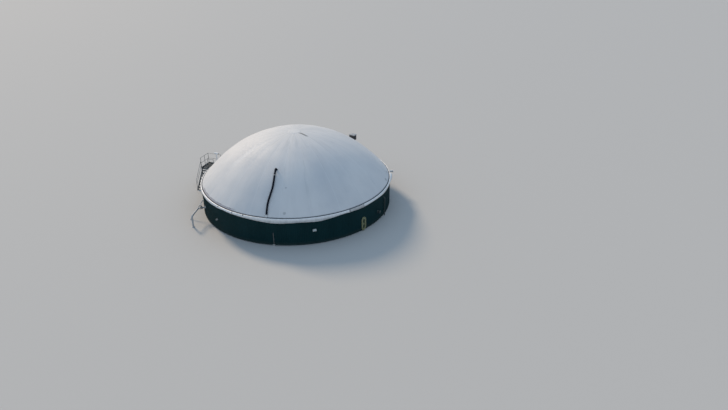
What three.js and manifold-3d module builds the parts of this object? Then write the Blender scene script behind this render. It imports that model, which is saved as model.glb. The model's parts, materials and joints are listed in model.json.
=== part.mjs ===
// Biogas digester: a round concrete tank in green sheet, closed by an inflated membrane dome.
// Millimetres, +Z up, origin on the ground at the tank's centre, +Y away from the viewer.
import * as THREE from "three";
import { mergeVertices } from "three/addons/utils/BufferGeometryUtils.js";
import Module from "manifold-3d";

const wasm = await Module();
wasm.setup();

const degrees = (angle) => (angle * Math.PI) / 180;

// Tank
const WALL_IN = 9000;
const WALL_OUT = 9200;
const WALL_TOP = 2580;
const SLAB_THICK = 250;
const SHEET_OUT = 9310;
const SHEET_FOOT = 90;
const SHEET_TOP = 2540;
const QUARTERS = 4;

// Every ring is a polygon of the same 96 flats, with a flat facing each multiple of 3.75 degrees
const FLATS = 96;
const FLAT_ANGLE = (2 * Math.PI) / FLATS;
const FIRST_EDGE = FLAT_ANGLE / 2;
const GAP = 0.3;

// Rail on top of the wall, with a raised roll round its outer edge and a groove inside the roll
const RAIL_IN = 9050;
const RAIL_TOP = 2680;
const ROLL_OUT = 9322;
const ROLL_Z = 2620;
const ROLL_RADIUS = 56;
const GROOVE_IN = 9250;

// Dome membrane: a spherical crown that runs on into a straight flank with a steeper foot
const FLANK_END = 8600;
const FLANK_END_Z = 3420;
const DOME_FOOT = 9242;
const CROWN_RADIUS = 11340;
const CROWN_RINGS = 12;
const DOME_LEAN = degrees(44);
const DOME_SHELL = 50;
const CROWN_OUT = CROWN_RADIUS * Math.sin(DOME_LEAN);
const FLANK_SLOPE = Math.tan(DOME_LEAN);
const FLANK_START_Z = FLANK_END_Z + FLANK_SLOPE * (FLANK_END - CROWN_OUT);
const CROWN_CENTRE = FLANK_START_Z - CROWN_RADIUS * Math.cos(DOME_LEAN);
const DOME_SEAT = RAIL_TOP + GAP;
const FOOT_SLOPE = (FLANK_END_Z - DOME_SEAT) / (DOME_FOOT - FLANK_END);
const FOOT_LEAN = Math.atan(FOOT_SLOPE);
const PATCH_RADIUS = 620;
const PATCH_THICK = 8;

// Rain skirt over the clamping rail
const SKIRT_OUT = 9404;
const SKIRT_THICK = 10;
const SKIRT_FOOT = 2450;
const SKIRT_BEND = 2570;
const SKIRT_WAVE = 30;
const WAVES = 15;
const WAVE_DIP = degrees(-47);

// Stretches of the skirt that hang lower or are drawn up, and one where it stands off on the right,
// each with the turns over which it sets in and fades out
const FRONT_STRETCH = [degrees(-110), degrees(-65.5)];
const FRONT_SOFT = [degrees(14), degrees(17)];
const FRONT_DROP = 160;
const LEFT_STRETCH = [degrees(-131), degrees(-112)];
const LEFT_SOFT = [degrees(5), degrees(8)];
const LEFT_RISE = 40;
const LOOSE_STRETCH = [degrees(-10), degrees(4)];
const LOOSE_SOFT = [degrees(4), degrees(4)];
const LOOSE_OUT = 150;

// Air duct on the dome
const DUCT_RADIUS = 80;
const DUCT_SIDES = 10;

// Service platform behind the left side
const PLATFORM_ANGLE = 161.25;
const DECK_Z = 2000;
const DECK_IN = 9440;
const DECK_OUT = 11050;
const DECK_BACK = -1250;
const DECK_FRONT = 250;
const LEG = 80;
const RAIL_HEIGHT = 1100;
const STAIR_STEPS = 8;
const STAIR_RUN = 175;
const STAIR_IN = 10220;
const STAIR_OUT = 10940;

const group = new THREE.Group();
group.name = "biogas_digester";

function paint(color, roughness, metalness = 0) {
  return new THREE.MeshStandardMaterial({ color, roughness, metalness });
}

const PAINTS = {
  concrete: paint(0x77756e, 0.9),
  sheet: paint(0x16302e, 0.45, 0.3),
  membrane: paint(0xb9bfc6, 0.55),
  hem: paint(0xc9cdd0, 0.5),
  rail: paint(0x4c5052, 0.5, 0.6),
  duct: paint(0x14181f, 0.6),
  white: paint(0xdfe2e4, 0.4),
  steel: paint(0x8b9194, 0.45, 0.7),
  dark: paint(0x262b2d, 0.5, 0.3),
  grey: paint(0xa3a8aa, 0.45, 0.2),
  hose: paint(0xb3b06a, 0.6),
};

function add(name, geometry, material) {
  const mesh = new THREE.Mesh(geometry, material.clone());
  mesh.name = name;
  group.add(mesh);
  return mesh;
}

// Solids

function solid(geometry) {
  const bare = geometry.clone();
  bare.deleteAttribute("normal");
  bare.deleteAttribute("uv");
  const merged = mergeVertices(bare, 1e-3);
  return new wasm.Manifold(
    new wasm.Mesh({
      numProp: 3,
      vertProperties: new Float32Array(merged.attributes.position.array),
      triVerts: new Uint32Array(merged.index.array),
    }),
  );
}

function geometryOf(body) {
  const mesh = body.getMesh();
  const geometry = new THREE.BufferGeometry();
  geometry.setAttribute("position", new THREE.BufferAttribute(new Float32Array(mesh.vertProperties), 3));
  geometry.setIndex(new THREE.BufferAttribute(new Uint32Array(mesh.triVerts), 1));
  geometry.computeVertexNormals();
  return geometry;
}

function join(...geometries) {
  return geometryOf(geometries.map(solid).reduce((whole, piece) => whole.add(piece)));
}

function cut(geometry, ...tools) {
  return geometryOf(tools.map(solid).reduce((whole, tool) => whole.subtract(tool), solid(geometry)));
}

function box(x0, x1, y0, y1, z0, z1) {
  const geometry = new THREE.BoxGeometry(x1 - x0, y1 - y0, z1 - z0);
  return geometry.translate((x0 + x1) / 2, (y0 + y1) / 2, (z0 + z1) / 2);
}

// A round bar between two points
function bar(from, to, radius, sides = 12) {
  const start = new THREE.Vector3(...from);
  const end = new THREE.Vector3(...to);
  const along = end.clone().sub(start);
  const geometry = new THREE.CylinderGeometry(radius, radius, along.length(), sides);
  const turn = new THREE.Quaternion().setFromUnitVectors(new THREE.Vector3(0, 1, 0), along.normalize());
  geometry.applyQuaternion(turn);
  return geometry.translate(...start.add(end).multiplyScalar(0.5).toArray());
}

// A round pipe that follows a smooth curve
function pipe(curve, radius, steps, sides = DUCT_SIDES) {
  const section = new THREE.Shape();
  for (let i = 0; i < sides; i += 1) {
    const turn = (2 * Math.PI * i) / sides;
    const place = [radius * Math.cos(turn), radius * Math.sin(turn)];
    if (i === 0) section.moveTo(...place);
    else section.lineTo(...place);
  }
  section.closePath();
  return new THREE.ExtrudeGeometry(section, { steps, extrudePath: curve, bevelEnabled: false });
}

// A ring or cap of revolution about the tank's axis, from [radius, height] points
function revolve(profile) {
  const points = profile.map(([radius, height]) => new THREE.Vector2(radius, height));
  const geometry = new THREE.LatheGeometry(points, FLATS, FIRST_EDGE);
  return geometry.rotateX(Math.PI / 2);
}

// One quarter of a ring wall, with a hairline joint at both ends
function arcWall(inner, outer, bottom, top, quarter) {
  const slit = GAP / 2 / inner;
  const start = FIRST_EDGE + (quarter * 2 * Math.PI) / QUARTERS + slit;
  const end = FIRST_EDGE + ((quarter + 1) * 2 * Math.PI) / QUARTERS - slit;
  const flats = FLATS / QUARTERS;
  const shape = new THREE.Shape();
  for (let i = 0; i <= flats; i += 1) {
    const turn = start + ((end - start) * i) / flats;
    const place = [outer * Math.cos(turn), outer * Math.sin(turn)];
    if (i === 0) shape.moveTo(...place);
    else shape.lineTo(...place);
  }
  for (let i = flats; i >= 0; i -= 1) {
    const turn = start + ((end - start) * i) / flats;
    shape.lineTo(inner * Math.cos(turn), inner * Math.sin(turn));
  }
  shape.closePath();
  const geometry = new THREE.ExtrudeGeometry(shape, { depth: top - bottom, bevelEnabled: false });
  return geometry.translate(0, 0, bottom);
}

// Fittings are drawn beside the wall with X outwards, Y along the wall and Z up, then turned
// to the flat that faces the given angle
const FLAT_FACE = SHEET_OUT * Math.cos(FLAT_ANGLE / 2);
const SEAT = FLAT_FACE + GAP;

function onFlat(angle, geometry) {
  return geometry.rotateZ(degrees(angle));
}

function crownPoint(lean, depth = 0) {
  const reach = CROWN_RADIUS - depth;
  return [reach * Math.sin(lean), CROWN_CENTRE + reach * Math.cos(lean)];
}

function domeHeight(radius) {
  if (radius > FLANK_END) return FLANK_END_Z + FOOT_SLOPE * (FLANK_END - radius);
  if (radius > CROWN_OUT) return FLANK_END_Z + FLANK_SLOPE * (FLANK_END - radius);
  return CROWN_CENTRE + Math.sqrt(CROWN_RADIUS ** 2 - radius ** 2);
}

function domeLean(radius) {
  if (radius > FLANK_END) return FOOT_LEAN;
  return Math.asin(Math.min(radius, CROWN_OUT) / CROWN_RADIUS);
}

// Tank body

function tank() {
  const slab = [
    [0, 0],
    [WALL_IN - GAP, 0],
    [WALL_IN - GAP, SLAB_THICK],
    [0, SLAB_THICK],
  ];
  add("floor_slab", revolve(slab), PAINTS.concrete);
  for (let quarter = 0; quarter < QUARTERS; quarter += 1) {
    const number = quarter + 1;
    const wall = arcWall(WALL_IN, WALL_OUT, 0, WALL_TOP, quarter);
    add(`tank_wall_${number}`, wall, PAINTS.concrete);
    const sheet = arcWall(WALL_OUT + GAP, SHEET_OUT, SHEET_FOOT, SHEET_TOP, quarter);
    add(`wall_cladding_${number}`, sheet, PAINTS.sheet);
  }
}

// Points round the roll from its outer side over the top and down to the groove
function rollArc(radius) {
  const turns = [0, 30, 60, 90, 120, 150].map(degrees);
  return turns.map((turn) => [ROLL_OUT + radius * Math.cos(turn), ROLL_Z + radius * Math.sin(turn)]);
}

function clampRail() {
  const foot = WALL_TOP + GAP;
  const roll = rollArc(ROLL_RADIUS);
  const groove = roll[roll.length - 1][1];
  const profile = [
    [RAIL_IN, foot],
    [ROLL_OUT + ROLL_RADIUS, foot],
    ...roll,
    [GROOVE_IN + 12, groove],
    [GROOVE_IN, RAIL_TOP],
    [RAIL_IN, RAIL_TOP],
    [RAIL_IN, foot],
  ];
  add("membrane_clamp_rail", revolve(profile), PAINTS.rail);
}

function dome() {
  const outer = [];
  const inner = [];
  for (let ring = 0; ring <= CROWN_RINGS; ring += 1) {
    const lean = (DOME_LEAN * ring) / CROWN_RINGS;
    outer.push(crownPoint(lean));
    if (ring % 2 === 0) inner.push(crownPoint(lean, DOME_SHELL));
  }
  outer.push([FLANK_END, FLANK_END_Z], [DOME_FOOT, DOME_SEAT]);
  inner.push([FLANK_END - DOME_SHELL * Math.sin(DOME_LEAN), FLANK_END_Z - DOME_SHELL * Math.cos(DOME_LEAN)]);
  inner.push([DOME_FOOT - DOME_SHELL / Math.sin(FOOT_LEAN), DOME_SEAT]);
  add("dome_membrane", revolve([...inner, ...outer.reverse()]), PAINTS.membrane);
}

// Crown patch where the gores meet, a low disc that lies on the top ring of the dome
function crownPatch() {
  const [ringOut, ringZ] = crownPoint(DOME_LEAN / CROWN_RINGS);
  const top = domeHeight(0) + GAP;
  const edge = top - ((domeHeight(0) - ringZ) * PATCH_RADIUS) / ringOut;
  const profile = [
    [0, top],
    [PATCH_RADIUS, edge],
    [PATCH_RADIUS - 2 * PATCH_THICK, edge + PATCH_THICK],
    [0, top + PATCH_THICK],
  ];
  add("crown_patch", revolve(profile), PAINTS.hem);
}

// How fully a turn lies in a stretch of the ring, which sets in and fades out softly
function within(turn, [from, to], [enter, leave]) {
  const inside = Math.min((turn - from) / enter, (to - turn) / leave);
  return Math.min(1, Math.max(0, inside + 0.5));
}

// Height of the skirt's lower edge
function skirtEdge(turn) {
  const wave = SKIRT_WAVE * Math.cos(WAVES * (turn - WAVE_DIP));
  const rise = LEFT_RISE * within(turn, LEFT_STRETCH, LEFT_SOFT);
  const drop = FRONT_DROP * within(turn, FRONT_STRETCH, FRONT_SOFT);
  return SKIRT_FOOT + rise - drop - wave;
}

// Skirt that lies over the roll and hangs down in front of the sheet to an uneven lower edge
function skirt() {
  const inside = SKIRT_OUT - SKIRT_THICK;
  const profile = [
    [SKIRT_OUT, SKIRT_FOOT],
    [SKIRT_OUT, SKIRT_BEND],
    ...rollArc(ROLL_RADIUS + GAP + SKIRT_THICK),
    ...rollArc(ROLL_RADIUS + GAP).reverse(),
    [inside, SKIRT_BEND],
    [inside, SKIRT_FOOT],
    [SKIRT_OUT, SKIRT_FOOT],
  ];
  const geometry = revolve(profile);
  const place = geometry.attributes.position;
  for (let i = 0; i < place.count; i += 1) {
    const turn = Math.atan2(place.getY(i), place.getX(i));
    const share = Math.max(0, (SKIRT_BEND - place.getZ(i)) / (SKIRT_BEND - SKIRT_FOOT));
    const outward = 1 + (LOOSE_OUT * share * within(turn, LOOSE_STRETCH, LOOSE_SOFT)) / SKIRT_OUT;
    const z = SKIRT_BEND - share * (SKIRT_BEND - skirtEdge(turn));
    const [x, y] = [place.getX(i) * outward, place.getY(i) * outward];
    if (share > 0) place.setXYZ(i, x, y, z);
  }
  add("rain_skirt", geometry, PAINTS.hem);
}

// Air supply duct that lies on the dome, from the elbow down to the nozzle in the groove

function onDome(x, y, lift) {
  const radius = Math.hypot(x, y);
  const lean = domeLean(radius);
  const outward = (lift * Math.sin(lean)) / radius;
  return new THREE.Vector3(x * (1 + outward), y * (1 + outward), domeHeight(radius) + lift * Math.cos(lean));
}

const DUCT_ROUTE = [
  [-1162, -6180],
  [-1181, -6500],
  [-1197, -6786],
  [-1264, -7234],
  [-1398, -7642],
  [-1535, -8028],
  [-1615, -8351],
  [-1646, -8647],
  [-1663, -8927],
];
const DUCT_LIFT = DUCT_RADIUS + 4;
const DUCT_STEPS = 26;

// Where the elbow stands on a flat of the dome, and its arch as distances along and above it
const ELBOW_ANGLE = -101.25;
const ELBOW_OUT = 5800;
const ELBOW_SHIFT = 80;
const ELBOW_ARCH = [
  [0, 10],
  [0, 120],
  [60, 220],
  [170, 250],
  [270, 190],
];
const FLANGE_THICK = 22;

// The point and the normal of the dome's flat that faces the angle, at a distance out and along it
function domeFlat(angle, out, shift) {
  const shrink = Math.cos(FLAT_ANGLE / 2);
  const ringLean = DOME_LEAN / CROWN_RINGS;
  const ring = Math.floor(domeLean(out / shrink) / ringLean);
  const [nearOut, nearZ] = crownPoint(ring * ringLean);
  const [farOut, farZ] = crownPoint((ring + 1) * ringLean);
  const drop = (nearZ - farZ) / (farOut - nearOut);
  const lean = Math.atan(drop / shrink);
  const height = nearZ - drop * (out / shrink - nearOut);
  const turn = degrees(angle);
  const outward = new THREE.Vector3(Math.cos(turn), Math.sin(turn), 0);
  const sideways = new THREE.Vector3(-Math.sin(turn), Math.cos(turn), 0);
  const point = outward.clone().multiplyScalar(out).addScaledVector(sideways, shift);
  const normal = outward.clone().multiplyScalar(Math.sin(lean));
  return { point: point.setZ(height), normal: normal.setZ(Math.cos(lean)) };
}

function ductCurve() {
  return new THREE.CatmullRomCurve3(DUCT_ROUTE.map(([x, y]) => onDome(x, y, DUCT_LIFT)));
}

function airDuct() {
  const curve = ductCurve();
  add("air_duct", pipe(curve, DUCT_RADIUS, DUCT_STEPS), PAINTS.duct);

  const base = domeFlat(ELBOW_ANGLE, ELBOW_OUT, ELBOW_SHIFT);
  const start = curve.getPoint(0);
  const along = curve.getTangent(0);
  const towards = start.clone().sub(base.point);
  towards.addScaledVector(base.normal, -towards.dot(base.normal)).normalize();
  const arch = ELBOW_ARCH.map(([far, lift]) =>
    base.point.clone().addScaledVector(towards, far).addScaledVector(base.normal, lift),
  );
  arch.push(start.clone().addScaledVector(along, -DUCT_RADIUS / 2));
  arch.push(start.clone().addScaledVector(along, -GAP));
  const bend = pipe(new THREE.CatmullRomCurve3(arch), DUCT_RADIUS - 4, 20);

  const under = base.point.clone().addScaledVector(base.normal, GAP);
  const over = under.clone().addScaledVector(base.normal, FLANGE_THICK);
  const flange = bar(under.toArray(), over.toArray(), DUCT_RADIUS + 25, 16);
  add("air_elbow", join(bend, flange), PAINTS.duct);
}

// White nozzle that bends from the duct's lower end down to the groove
const NOZZLE_RADIUS = 40;
const NOZZLE_OUT = 9272;
const NOZZLE_Z = ROLL_Z + 98;

function railNozzle() {
  const curve = ductCurve();
  const along = curve.getTangent(1);
  const end = curve.getPoint(1);
  const start = end.clone().addScaledVector(along, GAP);
  const turn = Math.atan2(end.y, end.x);
  const foot = new THREE.Vector3(NOZZLE_OUT * Math.cos(turn), NOZZLE_OUT * Math.sin(turn), NOZZLE_Z);
  const bend = new THREE.QuadraticBezierCurve3(start, end.clone().addScaledVector(along, 60), foot);
  add("rail_nozzle", pipe(bend, NOZZLE_RADIUS, 6), PAINTS.white);
}

// Bars that meet at the given points, with a ball at every bend
function bentPipe(points, radius, sides = 12) {
  const pieces = [];
  for (let i = 0; i + 1 < points.length; i += 1) {
    pieces.push(bar(points[i], points[i + 1], radius, sides));
    if (i > 0) {
      pieces.push(new THREE.SphereGeometry(radius * 1.02, sides, 8).translate(...points[i]));
    }
  }
  return pieces;
}

// Round plate that seats a pipe on the sheet
const PLATE_THICK = 20;

function wallPlate(along, z, radius) {
  return bar([SEAT, along, z], [SEAT + PLATE_THICK, along, z], radius, 16);
}

// Overpressure device on the far side: a riser beside the skirt that carries a box with a lid
const RELIEF_ANGLE = 56.25;
const RELIEF_SHIFT = -200;
const RELIEF_START_Z = 2150;
const RELIEF_Z = 3480;
const RELIEF_TALL = 550;
const RELIEF_DEEP = 460;
const RELIEF_WIDE = 640;
const RELIEF_RADIUS = 90;
const LID_EDGE = 30;
const LID_THICK = 60;
const RISER_OUT = 9560;

// A box round the riser's axis, between two heights
function riserBox(deep, wide, low, high) {
  const [out, along] = [RISER_OUT, RELIEF_SHIFT];
  return box(out - deep / 2, out + deep / 2, along - wide / 2, along + wide / 2, low, high);
}

function reliefDevice() {
  const plateRadius = 150;
  const start = [SEAT, RELIEF_SHIFT, RELIEF_START_Z];
  const corner = [RISER_OUT, RELIEF_SHIFT, RELIEF_START_Z];
  const top = [RISER_OUT, RELIEF_SHIFT, RELIEF_Z];
  const riser = join(
    ...bentPipe([start, corner, top], RELIEF_RADIUS),
    wallPlate(RELIEF_SHIFT, RELIEF_START_Z, plateRadius),
    bar([RISER_OUT, RELIEF_SHIFT, RELIEF_Z - PLATE_THICK], top, plateRadius, 16),
  );
  add("relief_riser", onFlat(RELIEF_ANGLE, riser), PAINTS.steel);

  const low = RELIEF_Z + GAP;
  const high = low + RELIEF_TALL;
  const body = riserBox(RELIEF_DEEP, RELIEF_WIDE, low, high);
  add("relief_box", onFlat(RELIEF_ANGLE, body), PAINTS.dark);
  const edges = 2 * LID_EDGE;
  const lid = riserBox(RELIEF_DEEP + edges, RELIEF_WIDE + edges, high + GAP, high + GAP + LID_THICK);
  add("relief_lid", onFlat(RELIEF_ANGLE, lid), PAINTS.grey);
}

// Vent with a T head, beside the platform
const VENT_ANGLE = 157.5;
const VENT_START_Z = 2210;
const VENT_HEAD_Z = 3480;
const VENT_RADIUS = 80;
const TEE_RADIUS = 88;
const TEE_LONG = 520;

function vent() {
  const neck = VENT_HEAD_Z - TEE_RADIUS - 4;
  const start = [SEAT, 0, VENT_START_Z];
  const corner = [RISER_OUT, 0, VENT_START_Z];
  const riser = bentPipe([start, corner, [RISER_OUT, 0, neck]], VENT_RADIUS);
  add("vent_pipe", onFlat(VENT_ANGLE, join(...riser, wallPlate(0, VENT_START_Z, 140))), PAINTS.white);

  const head = [-TEE_LONG / 2, TEE_LONG / 2].map((far) => [RISER_OUT + far, 0, VENT_HEAD_Z]);
  const sleeve = bar([RISER_OUT, 0, neck + GAP], [RISER_OUT, 0, VENT_HEAD_Z], VENT_RADIUS + 4, 16);
  add("vent_head", onFlat(VENT_ANGLE, join(bar(...head, TEE_RADIUS, 16), sleeve)), PAINTS.white);
}

// Short flanged stubs where the pipes to other plant are cut off
const FLANGE_DEEP = 30;

function stub(name, angle, shift, z, reach, radius, material) {
  const end = FLAT_FACE + reach;
  const tube = bar([SEAT, shift, z], [end, shift, z], radius, 16);
  const flange = bar([end - FLANGE_DEEP, shift, z], [end, shift, z], radius * 1.5, 16);
  add(name, onFlat(angle, join(tube, wallPlate(shift, z, radius * 1.6), flange)), material);
}

// Service platform and its stair

// A flat shape drawn along and up the wall, standing between two distances out
function shapeAcross(shape, from, to, curveSegments) {
  const geometry = new THREE.ExtrudeGeometry(shape, { depth: to - from, bevelEnabled: false, curveSegments });
  const turn = new THREE.Matrix4().makeBasis(
    new THREE.Vector3(0, 1, 0),
    new THREE.Vector3(0, 0, 1),
    new THREE.Vector3(1, 0, 0),
  );
  return geometry.applyMatrix4(turn).translate(from, 0, 0);
}

const BEAM_TOP = DECK_Z - 40;
const BEAM_DEEP = 110;
const BEAM_INSET = 10;
const FOOT_EDGE = 30;
const FOOT_THICK = 15;
const POST_RADIUS = 22;
const TUBE_RADIUS = 20;
const RAIL_INSET = 30;

function platformFrame() {
  const pieces = [];
  const low = BEAM_TOP - BEAM_DEEP;
  const legsOut = [DECK_IN, DECK_OUT - LEG];
  const legsAlong = [DECK_BACK, DECK_FRONT - LEG];
  for (const out of legsOut) {
    for (const along of legsAlong) {
      const [outEnd, alongEnd] = [out + LEG + FOOT_EDGE, along + LEG + FOOT_EDGE];
      pieces.push(box(out, out + LEG, along, along + LEG, 0, BEAM_TOP - 5));
      pieces.push(box(out - FOOT_EDGE, outEnd, along - FOOT_EDGE, alongEnd, 0, FOOT_THICK));
    }
    const [near, far] = [out + BEAM_INSET, out + LEG - BEAM_INSET];
    pieces.push(box(near, far, DECK_BACK + 5, DECK_FRONT - 5, low, BEAM_TOP));
  }
  for (const along of legsAlong) {
    const [near, far] = [along + BEAM_INSET, along + LEG - BEAM_INSET];
    pieces.push(box(DECK_IN + 5, DECK_OUT - 5, near, far, low, BEAM_TOP));
  }
  const armHalf = 60;
  pieces.push(box(SEAT, DECK_IN + LEG / 2, -armHalf, armHalf, low, BEAM_TOP - 20));
  pieces.push(box(SEAT, SEAT + 15, -150, 150, low - 70, BEAM_TOP - 20));
  add("platform_frame", onFlat(PLATFORM_ANGLE, join(...pieces)), PAINTS.steel);
}

function platform() {
  platformFrame();
  const deck = box(DECK_IN, DECK_OUT, DECK_BACK, DECK_FRONT, BEAM_TOP + GAP, DECK_Z);
  add("platform_deck", onFlat(PLATFORM_ANGLE, deck), PAINTS.steel);

  const outer = DECK_OUT - RAIL_INSET;
  const back = DECK_BACK + RAIL_INSET;
  const front = DECK_FRONT - RAIL_INSET;
  const inner = DECK_IN + RAIL_INSET;
  const gate = STAIR_IN - 2 * RAIL_INSET;
  const runs = {
    platform_railing: [[outer, front], [outer, (front + back) / 2], [outer, back], [inner, back]],
    platform_front_rail: [[inner, front], [gate, front]],
  };
  const top = DECK_Z + RAIL_HEIGHT;
  for (const [name, posts] of Object.entries(runs)) {
    const pieces = posts.map((post) => bar([...post, DECK_Z + GAP], [...post, top], POST_RADIUS, 8));
    for (const z of [DECK_Z + RAIL_HEIGHT / 2, top]) {
      for (let i = 0; i + 1 < posts.length; i += 1) {
        pieces.push(bar([...posts[i], z], [...posts[i + 1], z], TUBE_RADIUS, 8));
      }
    }
    add(name, onFlat(PLATFORM_ANGLE, join(...pieces)), PAINTS.steel);
  }
}

const STRINGER = 40;
const STRINGER_WIDE = 215;
const TREAD_THICK = 30;
const STAIR_LENGTH = STAIR_STEPS * STAIR_RUN;
const STAIR_FOOT = DECK_FRONT + STAIR_LENGTH + 14;
const STAIR_PITCH = DECK_Z / STAIR_LENGTH;
const STAIR_RAIL_LIFTS = [450, 900];

// Height of the stringers' upper edge
function stairEdge(along) {
  return (STAIR_FOOT - along) * STAIR_PITCH;
}

function stair() {
  const head = DECK_FRONT + GAP;
  const outline = new THREE.Shape([
    new THREE.Vector2(STAIR_FOOT, 0),
    new THREE.Vector2(head, Math.min(stairEdge(head), DECK_Z)),
    new THREE.Vector2(head, stairEdge(head + STRINGER_WIDE)),
    new THREE.Vector2(STAIR_FOOT - STRINGER_WIDE, 0),
  ]);
  const sides = { inner: STAIR_IN, outer: STAIR_OUT - STRINGER };
  for (const [side, from] of Object.entries(sides)) {
    const plate = shapeAcross(outline, from, from + STRINGER);
    add(`stair_stringer_${side}`, onFlat(PLATFORM_ANGLE, plate), PAINTS.steel);
  }
  const rise = DECK_Z / STAIR_STEPS;
  for (let step = 1; step < STAIR_STEPS; step += 1) {
    const front = STAIR_FOOT - STAIR_RUN * step;
    const tread = box(
      STAIR_IN + STRINGER + GAP,
      STAIR_OUT - STRINGER - GAP,
      front - STRINGER_WIDE + 8,
      front,
      rise * step - TREAD_THICK,
      rise * step,
    );
    add(`stair_tread_${step}`, onFlat(PLATFORM_ANGLE, tread), PAINTS.steel);
  }
  const railPlaces = { inner: STAIR_IN - TUBE_RADIUS - GAP, outer: STAIR_OUT + TUBE_RADIUS + GAP };
  const low = STAIR_FOOT - 150;
  const high = head + 110;
  const topLift = STAIR_RAIL_LIFTS[1];
  for (const [side, out] of Object.entries(railPlaces)) {
    const pieces = [];
    for (const along of [low, high]) {
      const edge = stairEdge(along);
      pieces.push(bar([out, along, edge - 180], [out, along, edge + topLift], TUBE_RADIUS, 8));
    }
    for (const lift of STAIR_RAIL_LIFTS) {
      const ends = [low, high].map((along) => [out, along, stairEdge(along) + lift]);
      pieces.push(bar(...ends, TUBE_RADIUS - 2, 8));
    }
    add(`stair_rail_${side}`, onFlat(PLATFORM_ANGLE, join(...pieces)), PAINTS.steel);
  }
}

// Small fittings round the wall

const CONDUIT_SHIFT = 50;
const CONDUIT_RADIUS = 32;
const CONDUIT_TOP = 1290;

function conduit() {
  const out = SEAT + CONDUIT_RADIUS;
  const half = 100;
  const tube = bar([out, CONDUIT_SHIFT, 60], [out, CONDUIT_SHIFT, CONDUIT_TOP], CONDUIT_RADIUS);
  const foot = box(SEAT, SEAT + 170, CONDUIT_SHIFT - half, CONDUIT_SHIFT + half, 0, 140);
  add("wall_conduit", onFlat(-97.5, join(tube, foot)), PAINTS.grey);
}

function wallBox() {
  const [deep, wide, tall, foot] = [90, 320, 200, 1320];
  const body = box(SEAT, SEAT + deep, -wide / 2, wide / 2, foot, foot + tall);
  add("wall_junction_box", onFlat(-75, body), PAINTS.white);
}

// Hose hank that hangs on a hook: turns of hose side by side and in layers from the wall outwards
const HOSE_ANGLE = -45;
const HOSE_SHIFT = 140;
const HOSE_PITCH = 30.4;
const HOSE_TURNS = 5;
const HOSE_LAYERS = 3;
const HANK_WIDE = 520;
const HANK_TALL = 1340;
const HANK_FOOT = 20;
const HANK_OFF = 12;
const HANK_BAND = HOSE_TURNS * HOSE_PITCH;
const HANK_DEEP = HOSE_LAYERS * HOSE_PITCH;
const COUPLING_RADIUS = 27;
const COUPLING_LONG = 120;
const COUPLING_RING = [20, 60];
const COUPLING_SHIFT = -60;

function hoseHank() {
  const half = HANK_WIDE / 2;
  const low = HANK_FOOT + half;
  const high = HANK_FOOT + HANK_TALL - half;
  const shape = new THREE.Shape();
  shape.absarc(HOSE_SHIFT, high, half, 0, Math.PI, false);
  shape.absarc(HOSE_SHIFT, low, half, Math.PI, 2 * Math.PI, false);
  const slit = new THREE.Path();
  slit.absarc(HOSE_SHIFT, high, half - HANK_BAND, 0, Math.PI, false);
  slit.absarc(HOSE_SHIFT, low, half - HANK_BAND, Math.PI, 2 * Math.PI, false);
  shape.holes.push(slit);
  const from = SEAT + HANK_OFF;
  add("hose_hank", onFlat(HOSE_ANGLE, shapeAcross(shape, from, from + HANK_DEEP, 8)), PAINTS.hose);

  const radius = 22;
  const z = high + half - HANK_BAND - radius - GAP;
  const tip = from + HANK_DEEP + 40;
  const hook = join(
    ...bentPipe([[SEAT, HOSE_SHIFT, z], [tip, HOSE_SHIFT, z], [tip, HOSE_SHIFT, z + 90]], radius, 10),
    bar([SEAT, HOSE_SHIFT, z], [SEAT + HANK_OFF - 2, HOSE_SHIFT, z], 60, 12),
  );
  add("hose_hook", onFlat(HOSE_ANGLE, hook), PAINTS.steel);

  const out = from + HANK_DEEP + COUPLING_RADIUS + GAP;
  const near = HOSE_SHIFT + COUPLING_SHIFT;
  const place = (far) => [out, near + far, COUPLING_RADIUS];
  const coupling = join(
    bar(place(0), place(COUPLING_LONG), COUPLING_RADIUS - 5),
    bar(...COUPLING_RING.map(place), COUPLING_RADIUS),
  );
  add("hose_coupling", onFlat(HOSE_ANGLE, coupling), PAINTS.steel);
}

// Upright pipe on the right side with a bend into the wall
const UPRIGHT_OUT = SEAT + 130;
const UPRIGHT_Z = 1900;

function rightRiser() {
  const points = [[SEAT, 0, UPRIGHT_Z], [UPRIGHT_OUT, 0, UPRIGHT_Z], [UPRIGHT_OUT, 0, 0]];
  const riser = join(...bentPipe(points, 45), wallPlate(0, UPRIGHT_Z, 85));
  add("wall_riser_right", onFlat(-22.5, riser), PAINTS.grey);
}

// Substrate line on the left: out of the wall, through a gate valve, across and into the ground
const LINE_ANGLE = -153.75;
const LINE_Z = 1150;
const LINE_RADIUS = 75;
const LINE_BEND = 9990;
const LINE_FOOT = [10854, 1285];
const VALVE_FROM = 9620;
const VALVE_TO = 9820;
const VALVE_FLANGE = 25;
const WHEEL_Z = LINE_Z + 375;

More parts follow.
